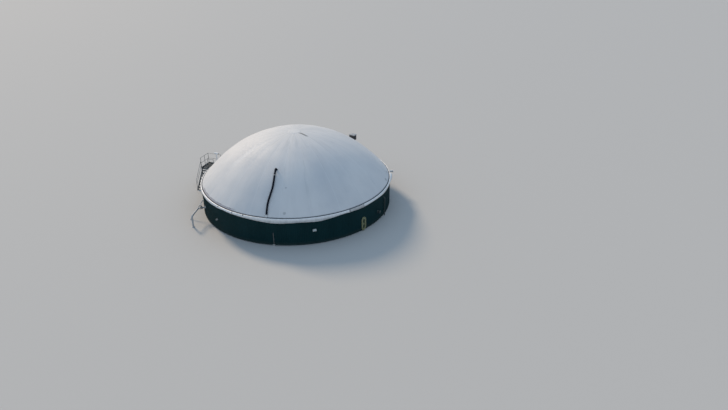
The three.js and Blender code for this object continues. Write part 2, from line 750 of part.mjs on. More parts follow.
function substrateLine() {
  const place = (out) => [out, 0, LINE_Z];
  const near = join(bar(place(SEAT), place(VALVE_FROM - GAP), LINE_RADIUS), wallPlate(0, LINE_Z, 130));
  add("substrate_pipe_wall", onFlat(LINE_ANGLE, near), PAINTS.grey);

  const middle = (VALVE_FROM + VALVE_TO) / 2;
  const upright = (low, high, radius, sides) => bar([middle, 0, low], [middle, 0, high], radius, sides);
  const valve = join(
    bar(place(VALVE_FROM), place(VALVE_TO), 100),
    bar(place(VALVE_FROM), place(VALVE_FROM + VALVE_FLANGE), 140, 16),
    bar(place(VALVE_TO - VALVE_FLANGE), place(VALVE_TO), 140, 16),
    upright(LINE_Z, LINE_Z + 250, 60, 12),
    upright(LINE_Z + 200, WHEEL_Z + 25, 18, 8),
    upright(WHEEL_Z - 15, WHEEL_Z + 15, 125, 16),
  );
  add("gate_valve", onFlat(LINE_ANGLE, valve), PAINTS.white);

  const foot = [...LINE_FOOT, 0];
  const points = [place(VALVE_TO + GAP), place(LINE_BEND), [...LINE_FOOT, LINE_Z], foot];
  const sole = bar(foot, [...LINE_FOOT, 40], 140, 16);
  add("substrate_pipe_ground", onFlat(LINE_ANGLE, join(...bentPipe(points, LINE_RADIUS), sole)), PAINTS.grey);
}

// Thin pipe that slopes from the upper part of the wall to the ground on the left
const SLOPE_Z = 1620;
const SLOPE_FOOT = [10870, 474, -60];

function slopingPipe() {
  const points = [[SEAT, 0, SLOPE_Z], [SEAT + 90, 0, SLOPE_Z], SLOPE_FOOT];
  const whole = join(...bentPipe(points, 35, 10), wallPlate(0, SLOPE_Z, 75));
  const [out, along] = SLOPE_FOOT;
  const below = box(out - 400, out + 400, along - 400, along + 400, -400, 0);
  add("sloping_pipe", onFlat(-157.5, cut(whole, below)), PAINTS.grey);
}

tank();
clampRail();
dome();
crownPatch();
skirt();
airDuct();
railNozzle();
reliefDevice();
vent();
stub("gas_pipe_stub", 168.75, -30, 2200, 430, 95, PAINTS.white);
stub("feed_pipe_stub", 11.25, 80, 2200, 640, 110, PAINTS.white);
stub("inlet_stub_right", -30, -80, 1000, 280, 100, PAINTS.grey);
stub("sampling_stub_left", -135, -130, 1120, 150, 55, PAINTS.grey);
platform();
stair();
conduit();
wallBox();
hoseHank();
rightRiser();
substrateLine();
slopingPipe();

export default group;
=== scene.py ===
"""The looks of a biogas digester: a round tank in green sheet under an inflated membrane dome.

Metres, +Z up, origin on the ground at the tank's centre, +Y away from the viewer.
"""

import json
from math import acos, asin, atan, ceil, cos, degrees, exp, hypot, pi, radians, sin, sqrt, tan

import bmesh
import bpy
from mathutils import Matrix, Vector, noise


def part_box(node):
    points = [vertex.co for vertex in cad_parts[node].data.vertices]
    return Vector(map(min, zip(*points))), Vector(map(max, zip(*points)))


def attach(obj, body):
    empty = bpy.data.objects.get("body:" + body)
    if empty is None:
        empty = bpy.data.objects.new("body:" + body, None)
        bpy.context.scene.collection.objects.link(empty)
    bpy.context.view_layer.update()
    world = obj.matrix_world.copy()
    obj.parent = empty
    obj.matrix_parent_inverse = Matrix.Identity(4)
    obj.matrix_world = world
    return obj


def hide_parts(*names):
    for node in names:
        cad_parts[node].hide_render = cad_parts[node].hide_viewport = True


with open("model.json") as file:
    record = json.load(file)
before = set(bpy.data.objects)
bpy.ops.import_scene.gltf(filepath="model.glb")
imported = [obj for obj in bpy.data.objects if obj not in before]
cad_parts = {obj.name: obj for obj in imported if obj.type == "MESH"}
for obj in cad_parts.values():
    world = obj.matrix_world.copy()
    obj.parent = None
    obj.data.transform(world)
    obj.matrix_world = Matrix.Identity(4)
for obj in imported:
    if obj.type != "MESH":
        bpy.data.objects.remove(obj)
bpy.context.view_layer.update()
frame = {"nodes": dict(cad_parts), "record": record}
nodes = frame["nodes"]

TURN = 2 * pi
UP = Vector((0, 0, 1))
OUT = Vector((1, 0, 0))


def in_radians(*angles):
    return tuple(radians(angle) for angle in angles)


def steps(first, last, count):
    """Evenly spaced values from the first to the last."""
    return [first + (last - first) * i / count for i in range(count + 1)]


def circle(count, start=0.0):
    """Evenly spaced turns all the way round."""
    return steps(start, start + TURN, count)[:-1]


def smoothstep(share):
    share = min(1.0, max(0.0, share))
    return share * share * (3 - 2 * share)


# Camera
LENS = 27.99
SENSOR = 36.0
CAMERA_PLACE = (6.731, -51.94, 25.983)
CAMERA_DOWN = 27.24

# Dome, as in the frame: a spherical crown, a straight flank and a steeper foot
CROWN_RADIUS = 11.34
DOME_LEAN = radians(44)
CROWN_OUT = CROWN_RADIUS * sin(DOME_LEAN)
FLANK_END = 8.6
FLANK_END_Z = 3.42
DOME_FOOT = 9.242
DOME_SEAT = 2.6803
FOOT_BLEND = 0.3
FLANK_SLOPE = tan(DOME_LEAN)
FOOT_SLOPE = (FLANK_END_Z - DOME_SEAT) / (DOME_FOOT - FLANK_END)
CROWN_CENTRE = FLANK_END_Z + FLANK_SLOPE * (FLANK_END - CROWN_OUT) - CROWN_RADIUS * cos(DOME_LEAN)
GORES = 21
GORE_TURN = TURN / GORES
FIRST_SEAM = radians(-93.5)
PATCH_RADIUS = 0.62

# Wall: the sheet's face and ribs, where pipes start inside it, the face of their plates, rows of screws
WALL_QUARTERS = 4
SHEETS = 64
SHEET_OUT = 9.307
RIBS = 384
RIB_DEEP = 0.02
SEAT = 9.3053
PLATE_FACE = SHEET_OUT + RIB_DEEP + 0.012
SCREW_ROWS = (0.19, 0.95, 1.7, 2.2)

# Rain skirt over the roll of the clamping rail, with stretches that hang low, are drawn up or stand off
ROLL_OUT = 9.322
ROLL_Z = 2.62
ROLL_RADIUS = 0.06
SKIRT_OUT = 9.398
SKIRT_FOOT = 2.45
SKIRT_WAVE = 0.03
SKIRT_THICK = 0.003
WAVES = 15
WAVE_DIP = radians(-47)
FRONT_STRETCH = in_radians(-110, -65.5)
FRONT_SOFT = in_radians(14, 17)
FRONT_DROP = 0.16
LEFT_STRETCH = in_radians(-131, -112)
LEFT_SOFT = in_radians(5, 8)
LEFT_RISE = 0.04

# Where one strip of the skirt ends over the start of the next; the piece between two of the laps is
# soiled, and the strip that ends on the right has come loose
STRIP_ENDS = in_radians(-158.5, -122, -54.5, -44.8, 3, 70, 135)
SOILED_STRIP = STRIP_ENDS[2:4]
CRUMPLED = (STRIP_ENDS[0], LEFT_STRETCH[1])
LOOSE_START = radians(-11)
LOOSE_END = STRIP_ENDS[4]
LOOSE_OUT = 0.17
LAP = radians(0.6)
OVER_ROLL = radians(150)
ARC_STEPS = 10
HANG_STEPS = 8
COLUMN_TURN = radians(0.2)

# Where the fittings stand round the wall, in degrees from +X
HOSE_ANGLE = -45
CONDUIT_ANGLE = -97.5
BOX_ANGLE = -75
RISER_ANGLE = -22.5
PLATFORM_ANGLE = 161.25
RELIEF_ANGLE = 56.25
VENT_ANGLE = 157.5
LINE_ANGLE = -153.75
SLOPE_ANGLE = -157.5
ELBOW_ANGLE = -101.25

# Bent pipes and the vent's tee: the radius of each, and of its round plate on the wall
RELIEF_PIPE = 0.09
RELIEF_PLATE = 0.15
VENT_PIPE = 0.08
VENT_PLATE = 0.14
TEE_RADIUS = 0.088
LINE_PIPE = 0.075
LINE_PLATE = 0.13
RISER_PIPE = 0.045
RISER_PLATE = 0.085
SLOPE_PIPE = 0.035
SLOPE_PLATE = 0.075

# Plate under the relief box, sole of the substrate line on the ground, and end of the sloping pipe
PLATE_THICK = 0.02
LINE_SOLE = 0.14
LINE_SOLE_THICK = 0.04
SLOPE_FOOT = (10.87, 0.474, -0.06)

# Air duct: X and Y of places along it on the dome, and its elbow as distance and height above the flange
DUCT_ROUTE = (
    (-1.162, -6.180),
    (-1.181, -6.500),
    (-1.197, -6.786),
    (-1.264, -7.234),
    (-1.398, -7.642),
    (-1.535, -8.028),
    (-1.615, -8.351),
    (-1.646, -8.647),
    (-1.663, -8.927),
)
DUCT_RADIUS = 0.085
DUCT_LIFT = DUCT_RADIUS + 0.004
RIDGE_PITCH = 0.03
RIDGE_DEEP = 0.008
ELBOW_OUT = 5.8
ELBOW_SHIFT = 0.08
ELBOW_RADIUS = DUCT_RADIUS - RIDGE_DEEP / 2
ELBOW_FLANGE = 0.105
ELBOW_ARCH = ((0, 0.01), (0, 0.12), (0.06, 0.22), (0.17, 0.25), (0.27, 0.19))

# Hose on its hook
HOSE_DIAMETER = 0.03
HOSE_PITCH = 0.0304
HOSE_TURNS = 5
HOSE_LAYERS = 3
ARC_POINTS = 9
LEG_POINTS = 11
TAIL_POINTS = 16

# Light from a pale blue sky and a low sun behind the dome, given by its turn and its height
SKY_TONE = (0.61, 0.785, 1.0)
SKY_STRENGTH = 0.65
SUN_TONE = (1.0, 0.79, 0.57)
SUN_STRENGTH = 2.65
SUN_PLACE = (127, 32)
SUN_SOFT = 12
FLOOR_TONE = (0.5, 0.5, 0.49)
FLOOR_REACH = 900
FLOOR_SINK = 0.002


def camera():
    data = bpy.data.cameras.new("camera")
    data.lens = LENS
    data.sensor_width = SENSOR
    data.clip_end = 3000
    item = bpy.data.objects.new("camera", data)
    item.location = CAMERA_PLACE
    item.rotation_euler = (radians(90 - CAMERA_DOWN), 0, 0)
    bpy.context.scene.collection.objects.link(item)
    bpy.context.scene.camera = item


camera()


def turned(angle):
    """The turn from the frame of the wall's flat at that angle to the row frame."""
    return Matrix.Rotation(radians(angle), 4, "Z")


def local_box(name, angle):
    """Lowest and highest corner of a CAD node, with X out of the wall and Y along it."""
    back = turned(-angle)
    points = [back @ vertex.co for vertex in nodes[name].data.vertices]
    return tuple(Vector([pick(point[axis] for point in points) for axis in range(3)]) for pick in (min, max))


def round_point(out, turn, z):
    """The point at a distance from the tank's axis, a turn round it and a height."""
    return Vector((out * cos(turn), out * sin(turn), z))


# Form of the dome


def dome_slope(radius):
    if radius <= CROWN_OUT:
        return tan(asin(radius / CROWN_RADIUS))
    share = (radius - FLANK_END + FOOT_BLEND) / (2 * FOOT_BLEND)
    return FLANK_SLOPE + (FOOT_SLOPE - FLANK_SLOPE) * min(1.0, max(0.0, share))


def dome_height(radius):
    if radius <= CROWN_OUT:
        return CROWN_CENTRE + sqrt(CROWN_RADIUS**2 - radius**2)
    in_blend = min(2 * FOOT_BLEND, max(0.0, radius - FLANK_END + FOOT_BLEND))
    past_blend = max(0.0, radius - FLANK_END - FOOT_BLEND)
    bend = (FOOT_SLOPE - FLANK_SLOPE) * (in_blend**2 / (4 * FOOT_BLEND) + past_blend)
    return FLANK_END_Z + FLANK_SLOPE * (FLANK_END - radius) - bend


def dome_normal(x, y):
    radius = hypot(x, y)
    lean = atan(dome_slope(radius))
    return Vector((x / radius * sin(lean), y / radius * sin(lean), cos(lean)))


def on_dome(x, y, lift=0.0):
    """The point a height above the membrane, square to it."""
    return Vector((x, y, dome_height(hypot(x, y)))) + dome_normal(x, y) * lift


# A bright streak on the left, and the stretch of the dome's foot with painted shade, with the radius where
# the shade begins
BRIGHT_STREAK = in_radians(-147, -144)
SHADED_FOOT_STRETCH = in_radians(-155, -125)
SHADED_FOOT_START = 9.13

# The fold beside the crown, from end to end, and smudges beside a seam and marks of painted shade in creases
# by the rim on the right, with their sizes
CROWN_FOLD = (on_dome(0.42, -0.46), on_dome(1.45, -1.10))
SMUDGES_AND_PAINTED_SHADE = ((on_dome(-0.10, -7.26), 0.10), (on_dome(-0.13, -8.94), 0.16), (on_dome(8.86, -1.72), 0.2),
         (on_dome(9.02, 0.0), 0.18))


# Materials


class Paint:
    """One material, its colour so far, and short ways to add nodes to it."""

    def __init__(self, name, roughness=0.5, metallic=0.0, color=None):
        self.material = bpy.data.materials.new(name)
        self.material.use_nodes = True
        self.tree = self.material.node_tree
        self.shader = self.tree.nodes["Principled BSDF"]
        self.set("Roughness", roughness)
        self.set("Metallic", metallic)
        self.color = color
        self.place = self.node("ShaderNodeTexCoord").outputs["Object"]
        self.last_bump = None

    def node(self, kind, *values, **settings):
        """Adds a node and feeds its first inputs in their order."""
        made = self.tree.nodes.new(kind)
        for key, value in settings.items():
            setattr(made, key, value)
        for socket, value in zip(made.inputs, values):
            self.feed(socket, value)
        return made

    def feed(self, socket, value):
        """Links an output to a socket, or sets a plain number or colour on it."""
        if isinstance(value, bpy.types.NodeSocket):
            self.tree.links.new(value, socket)
        elif isinstance(value, (tuple, list)) and socket.type == "RGBA":
            socket.default_value = (*value, 1)
        else:
            socket.default_value = value

    def set(self, name, value):
        self.feed(self.shader.inputs[name], value)

    def math(self, operation, *values):
        return self.node("ShaderNodeMath", *values, operation=operation).outputs[0]

    def vector_math(self, operation, *values, output="Vector"):
        return self.node("ShaderNodeVectorMath", *values, operation=operation).outputs[output]

    def times(self, first, *others):
        for other in others:
            first = self.math("MULTIPLY", first, other)
        return first

    def plus(self, first, second):
        return self.math("ADD", first, second)

    def noise(self, scale, detail=3.0, stretch=(1, 1, 1), place=None, roughness=0.5):
        mapping = self.node("ShaderNodeMapping", self.place if place is None else place)
        mapping.inputs["Scale"].default_value = stretch
        made = self.node("ShaderNodeTexNoise", mapping.outputs[0])
        made.inputs["Scale"].default_value = scale
        made.inputs["Detail"].default_value = detail
        made.inputs["Roughness"].default_value = roughness
        return made.outputs["Fac"]

    def spread(self, value, low, high, bottom=0.0, top=1.0):
        """Maps a value from low..high to bottom..top, softly and with its ends held."""
        limits = (low, high, bottom, top)
        return self.node("ShaderNodeMapRange", value, *limits, interpolation_type="SMOOTHSTEP").outputs[0]

    def between(self, value, low, high, soft):
        """1 between two values and 0 outside them, with soft ends."""
        rise = self.spread(value, low - soft, low)
        return self.times(rise, self.spread(value, high, high + soft, 1.0, 0.0))

    def blend(self, factor, first, second):
        made = self.node("ShaderNodeMix", factor, data_type="RGBA", blend_type="MIX")
        self.feed(made.inputs[6], first)
        self.feed(made.inputs[7], second)
        return made.outputs[2]

    def cover(self, share, tone):
        """Lays a tone over the colour so far, as thick as the share."""
        self.color = self.blend(share, self.color, tone)

    def bump(self, height, distance, strength=1.0):
        made = self.node("ShaderNodeBump")
        made.inputs["Strength"].default_value = strength
        made.inputs["Distance"].default_value = distance
        self.feed(made.inputs["Height"], height)
        if self.last_bump:
            self.feed(made.inputs["Normal"], self.last_bump)
        self.last_bump = made.outputs[0]
        self.set("Normal", self.last_bump)

    def polar(self):
        """Distance from the tank's axis, the angle round it, and the height."""
        x, y, z = self.node("ShaderNodeSeparateXYZ", self.place).outputs
        radius = self.math("SQRT", self.plus(self.times(x, x), self.times(y, y)))
        return radius, self.math("ARCTAN2", y, x), z

    def finish(self):
        self.set("Base Color", self.color)
        return self.material


def membrane_paint():
    """Pale cloth, clouded and streaked from the crown down, with soiled seams and smudges; painted shade on
    the foot and in creases on the right; dirt and painted shade in the fold.
    """
    paint = Paint("membrane_cloth", roughness=0.6)
    paint.set("Specular IOR Level", 0.3)
    radius, turn, _ = paint.polar()
    down_place = paint.node("ShaderNodeCombineXYZ", paint.math("COSINE", turn), paint.math("SINE", turn),
                            paint.times(radius, 0.035)).outputs[0]
    streaks = paint.noise(16, 5, place=down_place, roughness=0.6)
    broad = paint.noise(3.2, place=down_place)
    clouds = paint.noise(0.28)
    grain = paint.noise(5, 6, roughness=0.65)

    paint.color = paint.blend(paint.spread(clouds, 0.35, 0.68), (0.585, 0.60, 0.62), (0.66, 0.665, 0.67))
    paint.cover(paint.spread(broad, 0.35, 0.65, 0.0, 0.5), (0.70, 0.70, 0.70))
    bright = paint.times(paint.between(turn, *BRIGHT_STREAK, radians(2.5)),
                         paint.between(radius, 4.6, 5.8, 1.6), paint.spread(streaks, 0.3, 0.6, 0.3, 1.0))
    paint.cover(paint.times(bright, 0.45), (0.82, 0.82, 0.82))
    dirty = paint.blend(paint.spread(grain, 0.35, 0.7), (0.43, 0.45, 0.46), (0.53, 0.545, 0.55))
    crown_share = paint.spread(radius, 0.4, 6.5, 0.45, 0.12)
    paint.cover(paint.times(paint.spread(streaks, 0.42, 0.72), crown_share), dirty)

    seam = seam_marks(paint, radius, turn, streaks)
    # Dark marks: smudges beside a seam, and painted shade of creases by the rim on the right
    for spot, size in SMUDGES_AND_PAINTED_SHADE:
        far = paint.vector_math("DISTANCE", paint.place, spot, output="Value")
        mark = paint.plus(far, paint.times(grain, 0.22))
        paint.cover(paint.spread(mark, size, size + 0.14, 0.5, 0.0), (0.25, 0.27, 0.28))
    ragged = paint.plus(radius, paint.times(grain, 0.05))
    # Painted shade and dirt on the dome's foot
    foot_shade_and_dirt(paint, turn, ragged, grain)
    on_patch = paint.spread(ragged, PATCH_RADIUS - 0.05, PATCH_RADIUS + 0.1, 0.25, 0.0)
    paint.cover(on_patch, (0.76, 0.76, 0.76))
    # Dirt and painted shade in the fold beside the crown
    paint.cover(paint.times(fold_shade(paint, grain), 0.75), (0.13, 0.14, 0.14))
    paint.set("Roughness", paint.spread(grain, 0.3, 0.7, 0.56, 0.7))
    paint.bump(seam, 0.004)
    paint.bump(paint.noise(1.1, 4), 0.02, 0.35)
    paint.bump(paint.noise(260, 1), 0.0006, 0.5)
    return paint.finish()


def seam_marks(paint, radius, turn, streaks):
    """Pale welds between the gores with worn dirt beside them; gives the welds back."""
    step = paint.math("DIVIDE", paint.math("SUBTRACT", turn, FIRST_SEAM), GORE_TURN)
    share = paint.math("FRACT", paint.plus(step, 100.0))
    nearest = paint.math("MINIMUM", share, paint.math("SUBTRACT", 1.0, share))
    off_seam = paint.times(radius, GORE_TURN, nearest)
    seam = paint.spread(off_seam, 0.025, 0.04, 1.0, 0.0)
    soiled = paint.spread(off_seam, 0.03, 0.2, 1.0, 0.0)
    paint.cover(paint.times(seam, 0.28), (0.72, 0.74, 0.76))
    paint.cover(paint.times(soiled, paint.spread(streaks, 0.5, 0.75, 0.0, 0.2)), (0.40, 0.42, 0.43))
    return seam


def foot_shade_and_dirt(paint, turn, ragged, grain):
    """Painted shade on the left of the dome's foot with a darker crease line, and a dark line where the cloth
    is clamped: dirt, and painted shade of the groove.
    """
    uneven = paint.plus(ragged, paint.times(paint.noise(1.7, 5), 0.12))
    shaded_stretch = paint.times(paint.between(turn, *SHADED_FOOT_STRETCH, radians(7)), 0.7)
    # Painted shade where the steep foot on the left lies in shade
    strip = paint.times(paint.spread(uneven, SHADED_FOOT_START + 0.06, SHADED_FOOT_START + 0.1), shaded_stretch)
    paint.cover(strip, (0.33, 0.32, 0.37))
    # Darker crease line of painted shade at the inner edge of the strip
    edge = paint.times(paint.between(uneven, SHADED_FOOT_START + 0.065, SHADED_FOOT_START + 0.08, 0.02), shaded_stretch,
                       paint.spread(grain, 0.3, 0.6, 0.3, 1.0))
    paint.cover(edge, (0.12, 0.12, 0.13))
    # Dark line at the clamped foot: dirt, and painted shade of the groove
    paint.cover(paint.spread(ragged, 9.2, 9.25, 0.0, 0.7), (0.10, 0.105, 0.115))


def fold_shade(paint, grain):
    """Dirt that lies in the fold beside the crown, and painted shade of the fold."""
    start, end = CROWN_FOLD
    along = (end - start).normalized()
    offset = paint.vector_math("SUBTRACT", paint.place, (start + end) / 2)
    down = paint.vector_math("DOT_PRODUCT", offset, along, output="Value")
    across = paint.vector_math("DOT_PRODUCT", offset, (-along.y, along.x, 0), output="Value")
    far = paint.math("ABSOLUTE", paint.math("DIVIDE", down, (end - start).length / 2))
    bent = paint.times(paint.math("SINE", paint.times(down, 4.0)), 0.05)
    side = paint.math("ABSOLUTE", paint.plus(across, bent))
    wide = paint.spread(paint.plus(side, paint.times(grain, 0.08)), 0.09, 0.2, 1.0, 0.0)
    return paint.times(wide, paint.spread(far, 0.55, 1.15, 1.0, 0.0))


def skirt_paint():
    """Coated cloth, clean on top of the roll with a painted highlight where it is crumpled, grey towards its
    foot with dirt and painted shade, soiled between two laps, and with painted shadow lines at the laps.
    """
    paint = Paint("skirt_cloth", roughness=0.42)
    _, turn, z = paint.polar()
    grain = paint.noise(3.2, 6, roughness=0.65)
    stains = paint.noise(1.3, 5, (1, 1, 0.15))
    runs = paint.noise(14, 4, (1, 1, 0.25))
    paint.color = paint.blend(paint.spread(grain, 0.3, 0.7), (0.74, 0.75, 0.76), (0.87, 0.87, 0.87))
    # Darker towards the foot: dirt, and painted shade where the hanging cloth faces the ground
    low = paint.spread(paint.plus(z, paint.times(runs, 0.12)), 2.44, 2.68, 0.85, 0.04)
    paint.cover(paint.times(paint.spread(stains, 0.35, 0.65, 0.55, 1.0), low), (0.30, 0.32, 0.32))
    # Painted highlight on the top of the roll along the crumpled stretch
    painted_highlight = paint.times(paint.between(turn, *CRUMPLED, radians(4)), paint.spread(z, 2.6, 2.66), 0.7)
    paint.cover(painted_highlight, (0.96, 0.96, 0.96))
    soiled = paint.times(paint.between(turn, *SOILED_STRIP, radians(0.3)),
                         paint.spread(grain, 0.3, 0.7, 0.35, 0.8))
    paint.cover(soiled, (0.33, 0.32, 0.31))
    # Painted shadow lines beside the lapped ends of the strips
    for end in STRIP_ENDS:
        line = paint.between(turn, end + 0.5 * LAP, end + 1.2 * LAP, 0.4 * LAP)
        paint.cover(paint.times(line, 0.6), (0.13, 0.13, 0.13))
    spots = paint.spread(paint.noise(6, 6, roughness=0.7), 0.6, 0.72, 0.0, 0.5)
    paint.cover(spots, (0.26, 0.27, 0.26))
    paint.bump(paint.noise(7, 4, (1, 1, 0.4)), 0.01, 0.4)
    paint.bump(paint.noise(260, 1), 0.0006, 0.5)
    return paint.finish()


def cladding_paint():
    """Green sheet whose tone differs a little from sheet to sheet, with runs and splashed dirt."""
    paint = Paint("green_sheet", roughness=0.5)
    paint.set("Specular IOR Level", 0.1)
    _, turn, z = paint.polar()
    tint = paint.node("ShaderNodeTexWhiteNoise", noise_dimensions="1D")
    paint.feed(tint.inputs["W"], paint.math("FLOOR", paint.times(turn, SHEETS / TURN)))
    clouds = paint.noise(0.5, 4)
    runs = paint.noise(5, 5, (1, 1, 0.06), roughness=0.6)
    grain = paint.noise(14, 5)
    paint.color = paint.blend(tint.outputs["Value"], (0.003, 0.024, 0.027), (0.004, 0.028, 0.031))
    paint.cover(paint.spread(clouds, 0.35, 0.7, 0.0, 0.5), (0.005, 0.033, 0.038))
    paint.cover(paint.spread(runs, 0.52, 0.78, 0.0, 0.25), (0.014, 0.038, 0.042))
    splash = paint.plus(z, paint.times(grain, 0.35))
    paint.cover(paint.spread(splash, 0.25, 0.62, 0.35, 0.0), (0.05, 0.058, 0.05))
    paint.set("Roughness", paint.spread(grain, 0.3, 0.7, 0.45, 0.6))
    paint.bump(clouds, 0.012, 0.5)
    return paint.finish()


def concrete_paint():
    paint = Paint("concrete", roughness=0.88)
    grain = paint.noise(9, 8, roughness=0.7)
    paint.color = paint.blend(grain, (0.30, 0.295, 0.275), (0.43, 0.42, 0.395))
    paint.cover(paint.spread(paint.noise(0.8, 4), 0.45, 0.7, 0.0, 0.6), (0.17, 0.175, 0.15))
    paint.bump(grain, 0.006, 0.7)
    return paint.finish()


def steel_paint(name, dark, light, roughness=0.4):
    """Galvanised steel: patches of crystals that shine a little differently, and dull stains."""
    paint = Paint(name, roughness, 0.85)
    cells = paint.node("ShaderNodeTexVoronoi", paint.place)
    cells.inputs["Scale"].default_value = 45
    crystals = paint.node("ShaderNodeSeparateColor", cells.outputs["Color"]).outputs
    grain = paint.noise(12, 6, roughness=0.65)
    paint.color = paint.blend(crystals[0], dark, light)
    paint.cover(paint.spread(grain, 0.5, 0.75, 0.0, 0.5), tuple(0.6 * part for part in dark))
    paint.set("Roughness", paint.spread(crystals[1], 0.0, 1.0, roughness - 0.08, roughness + 0.2))
    paint.bump(grain, 0.001, 0.4)
    return paint.finish()


def coated_paint(name, clean, soiled, roughness=0.4, streaks=0.35, shine=0.5):
    """Painted metal or plastic with dust, faint runs and a slightly uneven coat."""
    paint = Paint(name, roughness)
    paint.set("Specular IOR Level", shine)
    grain = paint.noise(11, 6, roughness=0.65)
    runs = paint.noise(6, 4, (1, 1, 0.12))
    paint.color = paint.blend(paint.spread(grain, 0.35, 0.75, 0.0, 0.35), clean, soiled)
    paint.cover(paint.spread(runs, 0.5, 0.75, 0.0, streaks), soiled)
    paint.set("Roughness", paint.spread(grain, 0.3, 0.7, roughness - 0.06, roughness + 0.12))
    paint.bump(grain, 0.0015, 0.35)
    return paint.finish()


def hose_paint():
    """Hose with a woven cover: crossing threads and worn, dusty patches."""
    paint = Paint("hose_cover", roughness=0.6)
    weave = paint.node("ShaderNodeTexChecker", paint.place)
    weave.inputs["Scale"].default_value = 160
    paint.color = paint.blend(weave.outputs["Fac"], (0.20, 0.205, 0.10), (0.27, 0.275, 0.14))
    paint.cover(paint.spread(paint.noise(9, 6), 0.45, 0.7, 0.0, 0.5), (0.34, 0.34, 0.24))
    paint.bump(weave.outputs["Fac"], 0.0006, 0.6)
    return paint.finish()


MEMBRANE = membrane_paint()
SKIRT = skirt_paint()
GREEN = cladding_paint()
CONCRETE = concrete_paint()
STEEL = steel_paint("galvanised_steel", (0.36, 0.38, 0.39), (0.56, 0.58, 0.59))
# Darker weathered steel for platform and stair; its dark tone is also painted shade
WEATHERED_SHADED_STEEL = steel_paint("weathered_steel_painted_shade", (0.17, 0.19, 0.20), (0.28, 0.30, 0.31), 0.5)
DULL = steel_paint("dull_rail_steel", (0.035, 0.04, 0.045), (0.07, 0.075, 0.08), 0.55)
BOLTS = steel_paint("bolt_steel", (0.45, 0.45, 0.44), (0.62, 0.62, 0.60), 0.35)
DULL_BOLTS = steel_paint("dull_bolt_steel", (0.03, 0.045, 0.045), (0.07, 0.085, 0.085), 0.55)
WHITE = coated_paint("white_coat", (0.80, 0.81, 0.82), (0.52, 0.52, 0.49))
DULL_WHITE = coated_paint("dull_white_coat", (0.50, 0.54, 0.53), (0.30, 0.32, 0.31))
GREY = coated_paint("grey_plastic", (0.42, 0.44, 0.46), (0.30, 0.31, 0.31), 0.5)
WORN_GREY = coated_paint("worn_grey_coat", (0.30, 0.32, 0.33), (0.17, 0.17, 0.16), 0.5)
CONDUIT_GREY = coated_paint("conduit_grey", (0.10, 0.105, 0.10), (0.15, 0.14, 0.13), 0.5)
SHADE_GREY = coated_paint("dark_grey_coat", (0.045, 0.06, 0.06), (0.09, 0.10, 0.09), 0.5, shine=0.3)
DARK = coated_paint("dark_coat", (0.014, 0.017, 0.021), (0.05, 0.05, 0.048), 0.45)
RUBBER = coated_paint("black_hose_wall", (0.002, 0.006, 0.016), (0.007, 0.012, 0.023), 0.65, 0.1, 0.12)
HOSE = hose_paint()

SLOT_PAINTS = {
    "concrete": CONCRETE,
    "cladding": GREEN,
    "membrane": MEMBRANE,
    "hem": SKIRT,
    "rail": DULL,
    "duct": RUBBER,
    "white": WHITE,
    "steel": STEEL,
    "dark": DARK,
    "grey": GREY,
    "hose": HOSE,
}


# Making pieces

SHARP_EDGE = radians(50)
BEND_STEP = radians(8)
WELD = 0.003


def smooth_group():
    """Geometry nodes that shade flat stretches smooth and keep sharper edges sharp."""
    group = bpy.data.node_groups.new("soft_shading", "GeometryNodeTree")
    for way in ("INPUT", "OUTPUT"):
        group.interface.new_socket("Geometry", in_out=way, socket_type="NodeSocketGeometry")
    chain = [group.nodes.new(kind) for kind in (
        "NodeGroupInput", "GeometryNodeSetShadeSmooth", "GeometryNodeSetShadeSmooth", "NodeGroupOutput")]
    for before, after in zip(chain, chain[1:]):
        group.links.new(before.outputs[0], after.inputs[0])
    edges = chain[2]
    edges.domain = "EDGE"
    angle = group.nodes.new("GeometryNodeInputMeshEdgeAngle")
    sharp = group.nodes.new("FunctionNodeCompare")
    sharp.operation = "LESS_EQUAL"
    sharp.inputs["B"].default_value = SHARP_EDGE
    group.links.new(angle.outputs["Unsigned Angle"], sharp.inputs["A"])
    group.links.new(sharp.outputs[0], edges.inputs["Shade Smooth"])
    return group


SOFT_SHADING = smooth_group()


def soften(item, bevel=0.0):
    """Rounds the edges a little and shades the rest smooth."""
    if bevel:
        rounding = item.modifiers.new("bevel", "BEVEL")
        rounding.width = bevel
        rounding.segments = 2
        rounding.limit_method = "ANGLE"
        rounding.angle_limit = SHARP_EDGE
    item.modifiers.new("shading", "NODES").node_group = SOFT_SHADING


def spokes(axis, count, across=None, start=0.0):
    """Unit vectors square to an axis, evenly all round it."""
    across = across or axis.orthogonal().normalized()
    other = axis.cross(across)
    return [across * cos(turn) + other * sin(turn) for turn in circle(count, start)]


def skin(mesh, rows, closed=True, around=False, ends=False):
    """Faces between neighbouring rows of points.

    closed joins the ends of each row, around joins the last row to the first, and ends closes the
    first and the last row with a face each.
    """
    lines = [[mesh.verts.new(point) for point in row] for row in rows]
    after = [*lines[1:], lines[0]] if around else lines[1:]
    for low, high in zip(lines, after):
        for i in range(len(low) if closed else len(low) - 1):
            j = (i + 1) % len(low)
            mesh.faces.new((low[i], low[j], high[j], high[i]))
    if ends:
        mesh.faces.new(lines[0][::-1])
        mesh.faces.new(lines[-1])


def mesh_item(mesh, name, material):
    data = bpy.data.meshes.new(name)
    mesh.to_mesh(data)
    mesh.free()
    data.materials.append(material)
    return bpy.data.objects.new(name, data)


